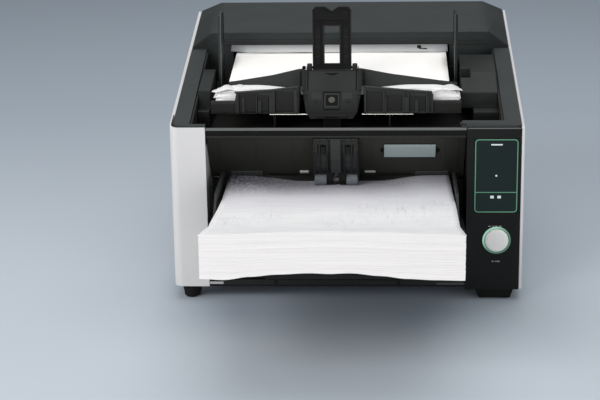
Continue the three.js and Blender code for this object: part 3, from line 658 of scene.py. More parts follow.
# ------------------------------------------------------------- operator column
lo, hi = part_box("lcd_screen")
lx0, lx1 = lo[0] * 1000, hi[0] * 1000
lz0, lz1 = (lo[2] - LOW) * 1000, (hi[2] - LOW) * 1000
ly = (lo[1] - FRONT) * 1000
frame_xz("screen_frame_line", lx0 + 0.4, lx1 - 0.4, lz0 + 0.5, lz1 - 0.5, 5.0, 1.25, ly - 0.25, ly + 0.2, "green_glow", "base")
rbox("screen_divider_line", lx0 + 1.6, lx1 - 1.6, ly - 0.25, ly + 0.2, lz0 + 27.2, lz0 + 28.3, "green_glow", "base", 0.1)
mx = (lx0 + lx1) / 2
rbox("screen_status_bar", mx - 7.2, mx + 7.6, ly - 0.22, ly + 0.2, lz1 - 8.6, lz1 - 6.8, "white_glow", "base", 0.2)
disc("screen_dot", (mx, ly - 0.25, lz0 + 50.2), (0, 1, 0), 1.25, 0.5, "white_glow", "base", 20, 0.1)
for i, dx in enumerate((-5.0, 4.2)):
    rbox("screen_icon_%d" % i, mx + dx - 2.3, mx + dx + 2.3, ly - 0.22, ly + 0.2, lz0 + 19.6, lz0 + 23.2, "white_glow", "base", 0.2)

# ------------------------------------------------------------- paper in hopper
HOP0, HOPS, HOPK, HOPR = 100.5, -0.0774, -213.0, 0.24


def hop_z(y):
    return HOP0 + HOPS * y if y >= HOPK else HOP0 + HOPS * HOPK + HOPR * (HOPK - y)


def lerp_table(t, x):
    if x <= t[0][0]:
        return t[0][1]
    for (a, fa), (b, fb) in zip(t, t[1:]):
        if x <= b:
            k = (x - a) / (b - a)
            k = k * k * (3 - 2 * k)
            return fa + (fb - fa) * k
    return t[-1][1]


SAG = [(-160, 6.6), (-131, 7.9), (-101, 4.0), (-70, 1.3), (-34, -0.4), (-13, 0.5), (11, -0.4), (45, 2.8), (75, 6.2), (106, 7.6), (140, 8.2)]
CROWN = [(-160, -0.8), (-120, 0.2), (-60, 2.4), (-10, 3.6), (50, 2.6), (105, 0.6), (140, -0.6)]
LEFT_IN = [(-330, 2.0), (-213, 1.6), (-110, 3.6), (0, 3.4), (60, 2.2), (90, 2.0)]
RIGHT_IN = [(-330, 2.2), (-213, 0.6), (-100, 0.8), (0, -1.2), (60, -2.0), (90, -2.0)]


def smooth(a, b, x):
    k = min(max((x - a) / (b - a), 0), 1)
    return k * k * (3 - 2 * k)


def stack_z(x, y, t):
    """Height of a sheet at share t of the pile (0 = lowest)."""
    z = hop_z(y) + 0.4 + 44.6 * t
    reach = 1 - smooth(-329, -215, y)
    z -= lerp_table(SAG, x) * reach * (1 - t) ** 1.25
    z += lerp_table(CROWN, x) * reach * t
    return z


NX, YS = 44, [-330, -326, -318, -306, -290, -270, -245, -213, -160, -110, -60, -10, 30, 57, 87]


def sheet_slab(verts, faces, t0, t1, dy, dx, ys, x0=-160.0, x1=137.0):
    base = len(verts)
    for y in ys:
        yy = y + (dy if y < -200 else 0)
        for i in range(NX + 1):
            k = i / NX
            a = x0 + lerp_table(LEFT_IN, y) + dx
            b = x1 + lerp_table(RIGHT_IN, y) + dx
            x = a + (b - a) * k
            verts.append((x, yy, stack_z(x, y, t0)))
            verts.append((x, yy, stack_z(x, y, t1)))
    row = 2 * (NX + 1)
    ny = len(ys)
    for j in range(ny - 1):
        for i in range(NX):
            p = base + j * row + 2 * i
            faces.append([p, p + row, p + row + 2, p + 2])
            faces.append([p + 1, p + 3, p + row + 3, p + row + 1])
        p = base + j * row
        faces.append([p, p + 1, p + row + 1, p + row])
        p = base + j * row + 2 * NX
        faces.append([p, p + row, p + row + 1, p + 1])
    for i in range(NX):
        p = base + 2 * i
        faces.append([p, p + 2, p + 3, p + 1])
        p = base + (ny - 1) * row + 2 * i
        faces.append([p, p + 1, p + 3, p + 2])


LAYERS = 46
verts, faces = [], []
for k in range(LAYERS):
    t0 = k / LAYERS
    t1 = (k + 0.965) / LAYERS
    dy = rng.uniform(-0.28, 0.28) - (0.3 if k % 11 == 5 else 0)
    dx = rng.uniform(-0.3, 0.3)
    sheet_slab(verts, faces, t0, t1, dy, dx, YS)
stack = new_obj("hopper_sheet_pile", verts, faces, "paper_edge", "hopper")
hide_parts("hopper_paper")
SOFT_HOPPER = [stack]

# the uppermost sheets lie loose and curl up at their rear corners
for n, (lift, dx, skew) in enumerate(((0.15, 0.4, 0.0), (0.55, -0.7, 0.004), (0.95, 0.2, -0.002))):
    verts, faces = [], []
    ys = [-329.5, -320, -300, -270, -240, -213, -180, -140, -100, -60, -20, 5, 22, 34, 44, 52, 57.5]
    for y in ys:
        for i in range(NX + 1):
            k = i / NX
            a = -160 + lerp_table(LEFT_IN, y) + dx + skew * (y + 100)
            b = 137 + lerp_table(RIGHT_IN, y) + dx + skew * (y + 100)
            x = a + (b - a) * k
            curl = smooth(-70, 57, y) * (smooth(-60, -135, x) + smooth(35, 112, x))
            z = stack_z(x, y, 1.0) + 0.05 + 0.17 * n + (lift - 0.05 - 0.17 * n) * smooth(-318, -270, y) + curl * (5.6 + 0.9 * n)
            z += 0.25 * math.sin(x * 0.11 + y * 0.05 + n) * smooth(-320, -280, y)
            verts.append((x, y, z))
            verts.append((x, y, z + 0.16))
    row = 2 * (NX + 1)
    for j in range(len(ys) - 1):
        for i in range(NX):
            p = j * row + 2 * i
            faces.append([p, p + row, p + row + 2, p + 2])
            faces.append([p + 1, p + 3, p + row + 3, p + row + 1])
        p = j * row
        faces.append([p, p + 1, p + row + 1, p + row])
        p = j * row + 2 * NX
        faces.append([p, p + row, p + row + 1, p + 1])
    for i in range(NX):
        p = 2 * i
        faces.append([p, p + 2, p + 3, p + 1])
        p = (len(ys) - 1) * row + 2 * i
        faces.append([p, p + 1, p + 3, p + 2])
    o = new_obj("hopper_loose_sheet_%d" % (n + 1), verts, faces, "print" if n == 2 else "paper", "hopper", smooth=True)
    SOFT_HOPPER.append(o)


# -------------------------------------------------------- sheets in the stacker
def tray_z(y):
    return 240 + 0.096 * (y - 75)


def thin_sheet(name, xs, ys, zf, thick, mat, body, xf=None, smooth_it=True):
    """A thin closed sheet over a grid, height by zf(x, y)."""
    verts, faces = [], []
    nx = len(xs)
    for y in ys:
        for x in xs:
            xx = xf(x, y) if xf else x
            z = zf(x, y)
            verts.append((xx, y, z))
            verts.append((xx, y, z + thick))
    row = 2 * nx
    for j in range(len(ys) - 1):
        for i in range(nx - 1):
            p = j * row + 2 * i
            faces.append([p, p + row, p + row + 2, p + 2])
            faces.append([p + 1, p + 3, p + row + 3, p + row + 1])
        p = j * row
        faces.append([p, p + 1, p + row + 1, p + row])
        p = j * row + 2 * (nx - 1)
        faces.append([p, p + row, p + row + 1, p + 1])
    for i in range(nx - 1):
        p = 2 * i
        faces.append([p, p + 2, p + 3, p + 1])
        p = (len(ys) - 1) * row + 2 * i
        faces.append([p, p + 1, p + 3, p + 2])
    return new_obj(name, verts, faces, mat, body, smooth=smooth_it)


def steps(a, b, n):
    return [a + (b - a) * i / n for i in range(n + 1)]


SOFT_STACKER = []
verts, faces = [], []
for k in range(14):
    t = k / 14.0
    r = rng.uniform(-0.9, 0.9)
    y0, y1 = 120.3 + rng.uniform(0, 0.7), 249.0 + rng.uniform(-1.2, 1.2)
    z0a, z0b = tray_z(120) + 0.4, 263.0
    z1a, z1b = tray_z(250) + 0.4, 275.4
    za0, za1 = z0a + (z0b - z0a) * t, z0a + (z0b - z0a) * (t + 0.9 / 14)
    zb0, zb1 = z1a + (z1b - z1a) * t, z1a + (z1b - z1a) * (t + 0.9 / 14)
    xl, xr = -160.3 + r, 136.6 + r
    b = len(verts)
    verts += [(xl, y0, za0), (xr, y0, za0), (xr, y1, zb0), (xl, y1, zb0), (xl, y0, za1), (xr, y0, za1), (xr, y1, zb1), (xl, y1, zb1)]
    faces += [[b, b + 3, b + 2, b + 1], [b + 4, b + 5, b + 6, b + 7], [b, b + 1, b + 5, b + 4], [b + 1, b + 2, b + 6, b + 5], [b + 2, b + 3, b + 7, b + 6], [b + 3, b, b + 4, b + 7]]
pile = new_obj("stacker_sheet_pile", verts, faces, "paper_edge", "top_unit")
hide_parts("output_paper")
SOFT_STACKER.append(pile)
# the top sheet takes the lighter paper with a painted glow: painted light
SOFT_STACKER.append(thin_sheet("stacker_top_sheet", steps(-160.4, 136.6, 30), steps(120.4, 252.0, 14),
    lambda x, y: 263.1 + (y - 120.3) * 0.0962 + 0.35 * math.sin(x * 0.021 + 0.6) * smooth(130, 235, y), 0.18, "paper_top", "top_unit"))

# the last sheet, still half in the exit slot, sags in a roll over the pile
verts, faces = [], []
NXC = 60
prof = [(272.0, 283.2), (265.5, 284.6), (260.0, 284.9), (255.5, 284.0), (252.0, 281.9), (249.6, 278.8), (248.6, 276.6)]
for j, (yy, zz) in enumerate(prof):
    for i in range(NXC + 1):
        x = -169 + 308.0 * i / NXC
        edge = smooth(-169, -120, x) * smooth(139, 118, x)
        wav = 0.5 * math.sin(x * 0.045 + 1.0) + 0.35 * math.sin(x * 0.12)
        drop = 1.0 - 0.16 * (1 - smooth(-169, -140, x)) + 0.10 * wav
        z = 285.4 - (285.4 - zz) * drop + (0.4 * wav if j > 2 else 0)
        y = yy + (1 - edge) * 1.2 + (0.5 * wav if j > 3 else 0)
        verts.append((x, y, z))
        verts.append((x, y + 0.15, z - 0.22))
row = 2 * (NXC + 1)
for j in range(len(prof) - 1):
    for i in range(NXC):
        p = j * row + 2 * i
        faces.append([p, p + 2, p + row + 2, p + row])
        faces.append([p + 1, p + row + 1, p + row + 3, p + 3])
    p = j * row
    faces.append([p, p + row, p + row + 1, p + 1])
    p = j * row + 2 * NXC
    faces.append([p, p + 1, p + row + 1, p + row])
for i in range(NXC):
    p = 2 * i
    faces.append([p, p + 1, p + 3, p + 2])
    p = (len(prof) - 1) * row + 2 * i
    faces.append([p, p + 2, p + 3, p + 1])
SOFT_STACKER.append(new_obj("stacker_emerging_sheet", verts, faces, "curl", "top_unit", smooth=True))

# slumped sheets that hang over the tray's front wall, both sides of the stopper
for side in (0, 1):
    verts, faces = [], []
    for k in range(13):
        t = k / 13.0
        r = rng.uniform(-1, 1)
        if side == 0:
            xo, xi = -178.2 + 9.0 * rng.random() * (0.35 + t) - 1.0 * (k == 12), -67.6
        else:
            xo, xi = 151.0 - 8.0 * rng.random() * (0.3 + t), 26.6
        n = 22
        base = len(verts)
        for i in range(n + 1):
            q = i / n
            x = xo + (xi - xo) * q
            # the corner end droops, the middle humps under the wing
            z = 247.0 + 12.6 * t + 3.2 * smooth(0.0, 0.25, q) * t - 4.6 * smooth(0.5, 1.0, q) * t - 2.2 * (1 - smooth(0, 0.12, q)) * t
            yf = 75.8 + 2.2 * rng.random() * 0.3 + 6.0 * (1 - smooth(0, 0.05, q)) * rng.random() + 0.8 * math.sin(5 * q + k) + 2.5 * t
            yb = 113.6
            verts += [(x, yf, z), (x, yf, z + 0.95), (x, yb, z + 0.75 - 2.4 * t), (x, yb, z - 2.4 * t)]
        for i in range(n):
            p = base + 4 * i
            for a, b in ((0, 1), (1, 2), (2, 3), (3, 0)):
                faces.append([p + a, p + b, p + 4 + b, p + 4 + a])
        faces.append([base, base + 3, base + 2, base + 1])
        p = base + 4 * n
        faces.append([p, p + 1, p + 2, p + 3])
    # the slumped sheets take the lighter, glowing paper: painted light
    o = new_obj("stacker_slumped_sheets_%s" % ("left", "right")[side], verts, faces, "paper_painted_light", "top_unit")
    SOFT_STACKER.append(o)
# one crumpled corner sheet each side, standing out of the slump
SOFT_STACKER.append(thin_sheet("stacker_crumpled_sheet_left", steps(-178.5, -120, 16), steps(74.5, 113, 6),
    lambda x, y: 259.6 + 3.6 * smooth(-176, -164, x) * smooth(-128, -150, x) + 1.1 * math.sin(x * 0.28 + y * 0.1) - 1.2 * (1 - smooth(75, 84, y)) - 0.075 * (y - 76),
    0.2, "paper", "top_unit", xf=lambda x, y: x + (y - 90) * 0.12))
SOFT_STACKER.append(thin_sheet("stacker_crumpled_sheet_right", steps(98, 151.2, 16), steps(75.5, 113, 6),
    lambda x, y: 260.4 + 1.9 * smooth(112, 134, x) + 1.0 * math.sin(x * 0.24 - y * 0.12) - 1.0 * (1 - smooth(76, 86, y)) - 2.4 * smooth(142, 151, x) - 0.075 * (y - 76),
    0.2, "paper", "top_unit", xf=lambda x, y: x - (y - 90) * 0.10))

# ---------------------------------------------------------- ridge over the feed
# (the CAD ridge bar runs from the left column to the operator column)
RX0, RX1 = -182.6, 155.2
# a light strip along the ridge's top front edge: painted highlight
prism("ridge_painted_highlight", [(RX0, 1.5, 224.9), (RX0, 1.5, 227.2), (RX0, 2.6, 227.9), (RX0, 4.4, 227.7), (RX0, 4.0, 224.9)], (RX1 - RX0, 0, 0), "painted_highlight_strip", "top_unit", 0.25)
prism("ridge_shadow_step", [(RX0, 1.65, 218.4), (RX0, 1.65, 225.0), (RX0, 2.6, 225.0), (RX0, 2.6, 218.4)], (RX1 - RX0, 0, 0), "pit", "top_unit", 0.2)
prism("ridge_lower_moulding", [(RX0, 3.6, 214.6), (RX0, 2.9, 216.6), (RX0, 3.6, 218.0), (RX0, 6.6, 218.4), (RX0, 8.4, 214.6), (RX0, 5.6, 214.0)], (RX1 - RX0, 0, 0), "ridge_low", "top_unit", 0.35)
for i, x in enumerate((-150, -96, 74, 128)):
    rbox("ridge_rib_%d" % i, x, x + 1.6, 2.0, 3.4, 217.5, 221.5, "darker", "top_unit", 0.2)

# ------------------------------------------------------------ slanted panel
PN = Vector((0, -0.791, -0.612))      # out of the panel, towards the operator
PT = Vector((0, 0.612, -0.791))       # down the panel


def pan(x, s, d=0.0):
    """Point on the slanted panel: s mm down from its top front edge, d mm out."""
    p = Vector((x, 3.0, 220.7)) + PT * s + PN * d
    return (p.x, p.y, p.z)


def panel_plate(name, x0, x1, s0, s1, d0, d1, mat, body="top_unit", bevel=0.35):
    return prism(name, [pan(x0, s0, d0), pan(x1, s0, d0), pan(x1, s1, d0), pan(x0, s1, d0)], tuple(PN * (d1 - d0)), mat, body, bevel)


panel_plate("feed_panel_window_left", -155.2, -112.9, 81.0, 91.0, 0.0, 0.9, "grey_plate")
panel_plate("feed_panel_window_right", 90.0, 134.0, 81.6, 91.4, 0.0, 0.9, "grey_plate")
panel_plate("feed_panel_tab_left", -63.0, -51.0, 79.3, 83.4, 0.0, 2.6, "light_tab", bevel=0.8)
panel_plate("feed_panel_tab_right", 23.0, 37.6, 79.5, 82.6, 0.0, 2.4, "light_tab", bevel=0.8)
panel_plate("feed_panel_tab_arm_left", -50.5, -44.5, 78.0, 86.0, 0.0, 3.2, "darker")
panel_plate("feed_panel_tab_arm_right", 15.5, 22.0, 78.0, 86.0, 0.0, 3.2, "darker")
for i, (x0, x1) in enumerate(((-178, -170), (-104, -66), (40, 84), (140, 150))):
    panel_plate("feed_panel_pad_%d" % i, x0, x1, 84.0, 90.5, 0.0, 0.7, "darker")
for i, x in enumerate((-168, -120, -72, 33, 128, 144)):
    panel_plate("feed_panel_rib_%d" % i, x, x + 1.1, 6.0, 76.0 if abs(x) > 100 else 60.0, 0.0, 0.5, "adf", bevel=0.2)
panel_plate("feed_panel_seam", -176, 150, 4.6, 5.6, 0.0, 0.45, "darker", bevel=0.15)
# round finger notches at the lever's ends, drawn as flat near-black discs: painted shade
for i, x in enumerate((49.4, 116.4)):
    c = Vector(pan(x, 35.6, 0.0))
    disc("lever_notch_%d" % i, tuple(c), tuple(PN), 5.4, 0.8, "pit", "top_unit", 28, 0.25)
panel_plate("lever_frame_upper", 52, 114, 22.0, 23.4, 0.0, 0.8, "darker", bevel=0.2)
panel_plate("lever_frame_lower", 52, 114, 47.6, 48.8, 0.0, 0.8, "darker", bevel=0.2)

# curved black lip that hangs over the stack in the middle: a dark plate standing for painted shade on the pile under
# the panel's lower edge
verts, faces = [], []
n = 48
for i in range(n + 1):
    x = -122 + 224.0 * i / n
    low = smooth(-122, -46, x) * smooth(102, 26, x)
    zt, zb = 148.6, 147.6 - 6.6 * low - 0.4
    yb = 58.6 - 6.5 * low
    verts += [(x, 59.4, zt), (x, 58.4, zt), (x, yb, zb), (x, yb + 1.0, zb)]
for i in range(n):
    p = 4 * i
    for a, b in ((0, 1), (1, 2), (2, 3), (3, 0)):
        faces.append([p + a, p + b, p + 4 + b, p + 4 + a])
faces.append([0, 3, 2, 1])
p = 4 * n
faces.append([p, p + 1, p + 2, p + 3])
new_obj("feed_lip_painted_shade", verts, faces, "black", "top_unit", smooth=False)

# ----------------------------------------------------------------- pick arm
AN = Vector((0, -0.802, -0.597))


def arm_p(x, s, d):
    """Point on the pick arm's front: s mm down its length, d mm out."""
    p = Vector((x, 7.2, 214.0)) + (Vector((0, 34, 178)) - Vector((0, 7.2, 214.0))).normalized() * s
    o = Vector((0, -0.802, -0.597))
    q = p + Vector((0, -1, 0)) * 0 + o * d
    return (q.x, q.y, q.z)


# ribs stand on the arm's front face, which looks up and towards the operator
AD = (Vector((0, 34, 178)) - Vector((0, 7.2, 214.0))).normalized()
AO = Vector((0, -AD.z, AD.y)).normalized()
if AO.y > 0:
    AO = -AO


def arm_pt(x, s, d):
    p = Vector((x, 2.6, 212.6)) + Vector((0, (24 - 2.6), (162 - 212.6))).normalized() * s
    return p


def arm_rib(name, x0, x1, outline, mat="darker", bevel=0.4, body="pick_arm"):
    return prism(name, [(x0, y, z) for y, z in outline], (x1 - x0, 0, 0), mat, body, bevel)


RIB = [(1.0, 212.0), (3.0, 214.2), (7.6, 213.4), (15, 203), (12.5, 176), (22.5, 163), (20.5, 160.5), (10.5, 172.5), (1.6, 196)]
for i, (x0, x1) in enumerate(((-43.2, -40.6), (-35.6, -33.6), (-26.2, -23.6), (-4.4, -1.8), (5.6, 7.6), (12.6, 15.2))):
    arm_rib("pick_arm_rib_%d" % i, x0, x1, RIB)
SPINE = [(0.6, 210.5), (3.6, 213.6), (8, 206), (8, 182), (14.5, 174), (17, 166), (14.5, 164.5), (9.5, 171.5), (2.6, 186), (0.8, 200)]
arm_rib("pick_arm_spine", -20.6, -7.4, SPINE, "dark")
arm_rib("pick_arm_spine_groove_left", -22.6, -21.4, SPINE, "black", 0.2)
arm_rib("pick_arm_spine_groove_right", -6.6, -5.4, SPINE, "black", 0.2)
rbox("pick_arm_cross_bar", -43.2, 15.2, 1.3, 4.2, 206.0, 210.6, "darker", "pick_arm", 0.5)
rbox("pick_arm_clip_left", -33.2, -27.2, 1.9, 5.4, 193, 203, "black", "pick_arm", 0.6)
rbox("pick_arm_clip_right", -0.8, 5.2, 1.9, 5.4, 193, 203, "black", "pick_arm", 0.6)
disc("pick_arm_spring_seat", (-14, 3.0, 201), (0, -1, 0), 3.4, 2.2, "dark", "pick_arm", 24, 0.5)
for i, (x0, x1) in enumerate(((-44.6, -43.3), (15.3, 16.6))):
    arm_rib("pick_arm_outer_link_%d" % i, x0, x1, [(4, 206), (8, 208), (24, 172), (31, 160), (31, 152.4), (25, 152), (20, 162), (10, 180)], "darker")
for i, (x0, x1) in enumerate(((-26.4, -17.8), (-10.2, -1.4))):
    arm_rib("pick_arm_leg_%d" % i, x0, x1, [(18.6, 170), (22, 171), (40.4, 166), (39, 149.4), (32, 145.9), (23.4, 146), (19.0, 152)], "black", 0.9)
panel_plate("separator_pad", -17.2, -10.8, 79.5, 94.5, 0.6, 9.5, "light_tab", bevel=0.8)
# tread of the pick rollers
for side, (x0, x1) in enumerate(((-42.0, -26.6), (-0.4, 14.0))):
    verts, faces = [], []
    n, m = 36, 5
    for j in range(m + 1):
        x = x0 + (x1 - x0) * j / m
        for i in range(n):
            t = 2 * math.pi * i / n
            r = 8.45 if i % 2 == 0 else 8.12
            if j in (0, m):
                r -= 0.35
            verts.append((x, 28 + r * math.cos(t + 0.03 * j), 152.4 + r * math.sin(t + 0.03 * j)))
    for j in range(m):
        for i in range(n):
            k = (i + 1) % n
            faces.append([j * n + i, j * n + k, (j + 1) * n + k, (j + 1) * n + i])
    faces.append(list(range(n - 1, -1, -1)))
    faces.append([m * n + i for i in range(n)])
    new_obj("pick_roller_tread_%s" % ("left", "right")[side], verts, faces, "roller", "pick_roller")

# ------------------------------------------------------------ stopper carriage
CD = Vector((0, 0.625, 0.781))        # up the sloping face
CO = Vector((0, -0.781, 0.625))       # out of it


def car(x, u, d=0.0):
    p = Vector((x, 68.6, 237.4)) + CD * u + CO * d
    return (p.x, p.y, p.z)


def car_plate(name, pts, d0, d1, mat, bevel=0.4, body="stopper_carriage"):
    """pts are (x, u) on the sloping face"""
    return prism(name, [car(x, u, d0) for x, u in pts], tuple(CO * (d1 - d0)), mat, body, bevel)


SXC = -20.5
for side, sg in (("left", -1), ("right", 1)):
    car_plate("stopper_rail_%s" % side, [(SXC + sg * 37.6, 22), (SXC + sg * 33.6, 22), (SXC + sg * 30.5, 1), (SXC + sg * 33.5, 0)], -0.4, 1.9, "darker", bevel=0.6)
    prism("stopper_rail_upper_%s" % side, [(SXC + sg * 39.9, 84.6, 257.8), (SXC + sg * 35.4, 84.6, 257.8), (SXC + sg * 35.4, 104.6, 282.2), (SXC + sg * 39.9, 104.6, 282.2)], (0, -1.0, 1.2), "darker", "stopper_carriage", 0.5)
    prism("stopper_groove_%s" % side, [(SXC + sg * 33.2, 85.0, 258.4), (SXC + sg * 31.6, 85.0, 258.4), (SXC + sg * 31.6, 104.0, 281.4), (SXC + sg * 33.2, 104.0, 281.4)], (0, -0.35, 0.35), "pit", "stopper_carriage", 0.1)
    car_plate("stopper_cheek_%s" % side, [(SXC + sg * 28, 23.5), (SXC + sg * 14, 23.5), (SXC + sg * 14, -1.5), (SXC + sg * 25, -1.5)], -0.3, 0.9, "dark", bevel=0.5)
    car_plate("stopper_step_%s" % side, [(SXC + sg * 24, 14), (SXC + sg * 18, 14), (SXC + sg * 18, 9), (SXC + sg * 24, 9)], 0.7, 1.5, "darker", bevel=0.3)
    rbox("stopper_hinge_ear_%s" % side, SXC + sg * 30.5 - 3.2, SXC + sg * 30.5 + 3.2, 105.4, 114.6, 280.0, 289.6, "darker", "stopper_carriage", 1.0, 3)
    disc("stopper_hinge_pin_%s" % side, (SXC + sg * 33.5, 110.5, 284.5), (sg, 0, 0), 2.3, 1.6, "steel", "stopper_carriage", 20, 0.3)
# frame round the latch and the finger grip over it
for nm, pts in (("top", [(-12.6, 26.2), (12.6, 26.2), (12.6, 24.4), (-12.6, 24.4)]), ("bottom", [(-12.6, 0.6), (12.6, 0.6), (12.6, -1.0), (-12.6, -1.0)]),
                ("left", [(-12.8, 26.2), (-11.2, 26.2), (-11.2, -1.0), (-12.8, -1.0)]), ("right", [(11.2, 26.2), (12.8, 26.2), (12.8, -1.0), (11.2, -1.0)])):
    car_plate("latch_frame_%s" % nm, [(SXC + x, u) for x, u in pts], -0.2, 1.1, "darker", bevel=0.25)
ring = [(SXC + 7.6 * math.cos(math.radians(a)), 12.5 + 7.6 * math.sin(math.radians(a))) for a in range(0, 360, 15)]
car_plate("latch_button_pad", [(SXC - 8.2, 4.2), (SXC + 8.2, 4.2), (SXC + 8.2, 20.6), (SXC - 8.2, 20.6)], -0.3, 0.7, "pit", 0.6, "stopper_latch")
car_plate("latch_button_knob", [(SXC + 4.6 * math.cos(math.radians(a)), 12.6 + 4.6 * math.sin(math.radians(a))) for a in range(0, 360, 15)], 0.4, 2.2, "knob", 0.9, "stopper_latch")
verts, faces = [], []
n = 24
for i in range(n + 1):
    t = math.pi + math.pi * i / n
    for r, yy, zz in ((13.8, 104.6, 0.0), (16.2, 104.6, 0.0), (16.2, 103.3, 0.4), (13.8, 103.3, 0.4)):
        verts.append((SXC + r * math.cos(t), yy - 0.2, 280.0 + zz + 0.42 * r * math.sin(t)))
for i in range(n):
    p = 4 * i
    for a, b in ((0, 1), (1, 2), (2, 3), (3, 0)):
        faces.append([p + a, p + b, p + 4 + b, p + 4 + a])
faces.append([0, 3, 2, 1])
p = 4 * n
faces.append([p, p + 1, p + 2, p + 3])
new_obj("stopper_finger_grip", verts, faces, "slate_deep", "stopper_carriage")
rbox("stopper_top_lip", SXC - 27, SXC + 27, 102.6, 105.4, 278.2, 280.5, "dark", "stopper_carriage", 0.6)
for i, (x, z) in enumerate(((-30, 230), (30, 230), (-34, 266), (34, 266))):
    pass
# lower edge of the carriage: a small step and a slot
rbox("stopper_foot_step", SXC - 20, SXC + 20, 59.2, 61.2, 226.4, 231.0, "darker", "stopper_carriage", 0.5)
rbox("stopper_foot_slot", SXC - 9, SXC + 9, 58.8, 59.6, 227.6, 229.4, "pit", "stopper_carriage", 0.2)

# the arm's rims, so that it reads as a moulded frame
AXL, AXR = SXC - 26, SXC + 26
for nm, x0, x1, z0, z1 in (("outer_left", AXL, AXL + 1.8, 292.5, 361), ("outer_right", AXR - 1.8, AXR, 292.5, 361),
                           ("inner_left", SXC - 12.2, SXC - 10.2, 290, 342), ("inner_right", SXC + 10.2, SXC + 12.2, 290, 342)):
    rbox("stopper_arm_rim_%s" % nm, x0, x1, 106.9, 108.3, z0, z1, "darker", "stopper_arm", 0.4)
rbox("stopper_arm_rim_over_window", SXC - 12.2, SXC + 12.2, 106.9, 108.3, 341, 343, "darker", "stopper_arm", 0.4)
for i, (x0, x1) in enumerate(((SXC - 22.5, SXC - 15.5), (SXC + 15.5, SXC + 22.5))):
    rbox("stopper_arm_panel_%d" % i, x0, x1, 107.5, 108.2, 290, 340, "black", "stopper_arm", 0.4)
for i, z in enumerate((300, 313, 326)):
    for j, x in enumerate((SXC - 19, SXC + 19)):
        rbox("stopper_arm_rung_%d_%d" % (i, j), x - 3.6, x + 3.6, 107.1, 107.8, z, z + 1.2, "darker", "stopper_arm", 0.25)
prism("stopper_arm_crown", [(AXL + 3, 106.9, 349), (AXR - 3, 106.9, 349), (AXR - 3, 106.9, 360), (AXR - 8, 106.9, 364), (SXC + 10, 106.9, 364), (SXC, 106.9, 358), (SXC - 10, 106.9, 364), (AXL + 8, 106.9, 364), (AXL + 3, 106.9, 360)], (0, 1.3, 0), "arm", "stopper_arm", 0.5)

# ---------------------------------------------------------------- stacker tray
# pockets and ribs of the front wall
for i, (x0, x1, z0, z1) in enumerate(((-143, -121, 235, 259), (-119, -104, 235, 257), (-95, -70, 235, 262), (24, 48, 235, 262), (53, 73, 235, 257), (82, 104, 235, 255.5))):
    rbox("tray_wall_pocket_%d" % i, x0, x1, 65.3, 66.3, z0, z1, "darker", "top_unit", 0.6)
for i, (x0, x1, zt) in enumerate(((-146, -143.5, 260), (-121, -119, 261), (-98, -95.4, 262.5), (-70.5, -66, 265), (23.2, 25.6, 265), (47.5, 50, 263), (73.2, 75.6, 261), (80, 82, 260), (104, 106.4, 259.5), (111.5, 113.8, 258.5))):
    rbox("tray_wall_rib_%d" % i, x0, x1, 62.6, 66.4, 233, zt, "dark", "top_unit", 0.5)
rbox("tray_shoulder_left", -180.6, -149.4, 64.8, 66.4, 233, 246, "darker", "top_unit", 0.8)
rbox("tray_shoulder_right", 114.6, 150.6, 64.8, 66.4, 233, 246, "darker", "top_unit", 0.8)
# top edge of the front wall
prism("tray_wall_cap_left", [(-149, 64.6, 259.4), (-149, 70.6, 259.4), (-149, 70.6, 261.2), (-149, 64.6, 261.0)], (49, 0, 3.2), "dark", "top_unit", 0.4)
prism("tray_wall_cap_left_inner", [(-100, 64.6, 262.6), (-100, 70.6, 262.6), (-100, 70.6, 264.4), (-100, 64.6, 264.2)], (36, 0, 4.4), "dark", "top_unit", 0.4)
prism("tray_wall_cap_right_inner", [(22.8, 64.6, 267.0), (22.8, 70.6, 267.0), (22.8, 70.6, 268.8), (22.8, 64.6, 268.6)], (47.4, 0, -4.4), "dark", "top_unit", 0.4)
prism("tray_wall_cap_right", [(70.2, 64.6, 262.6), (70.2, 70.6, 262.6), (70.2, 70.6, 264.4), (70.2, 64.6, 264.2)], (42.0, 0, -3.2), "dark", "top_unit", 0.4)
# bright spring wires under the wall
for nm, x0, x1 in (("left", -103, -48), ("right", 19.5, 87.5)):
    disc("tray_wire_%s" % nm, (x0, 66.5, 230.6), (1, 0, 0), 0.85, x1 - x0, "wire", "top_unit", 16, 0.2)
# wing stiffeners and their end knobs
for nm, pts in (("left", [(-159, 256.6), (-60, 277.4), (-60, 281.0), (-66, 280.8), (-159, 259.0)]), ("right", [(134, 256.6), (14, 277.8), (14, 281.6), (20, 281.2), (134, 259.0)])):
    prism("wing_rim_%s" % nm, [(x, 115.8, z) for x, z in pts], (0, 4.2, 0), "dark", "top_unit", 0.4)
for nm, pts in (("left", [(-161, 253.5), (-161, 264.4), (-150, 265.6), (-64, 279.4), (-64, 253.5)]), ("right", [(147.4, 253.5), (147.4, 262.4), (137, 263.6), (23.2, 279.6), (23.2, 253.5)])):
    prism("wing_face_%s" % nm, [(x, 114.4, z) for x, z in pts], (0, 1.5, 0), "dark", "top_unit", 0.4)
disc("wing_knob_left", (-58.8, 116.4, 282.6), (0, 1, 0), 2.6, 3.4, "pit", "top_unit", 20, 0.5)
disc("wing_knob_right", (12.6, 116.4, 282.6), (0, 1, 0), 2.6, 3.4, "pit", "top_unit", 20, 0.5)

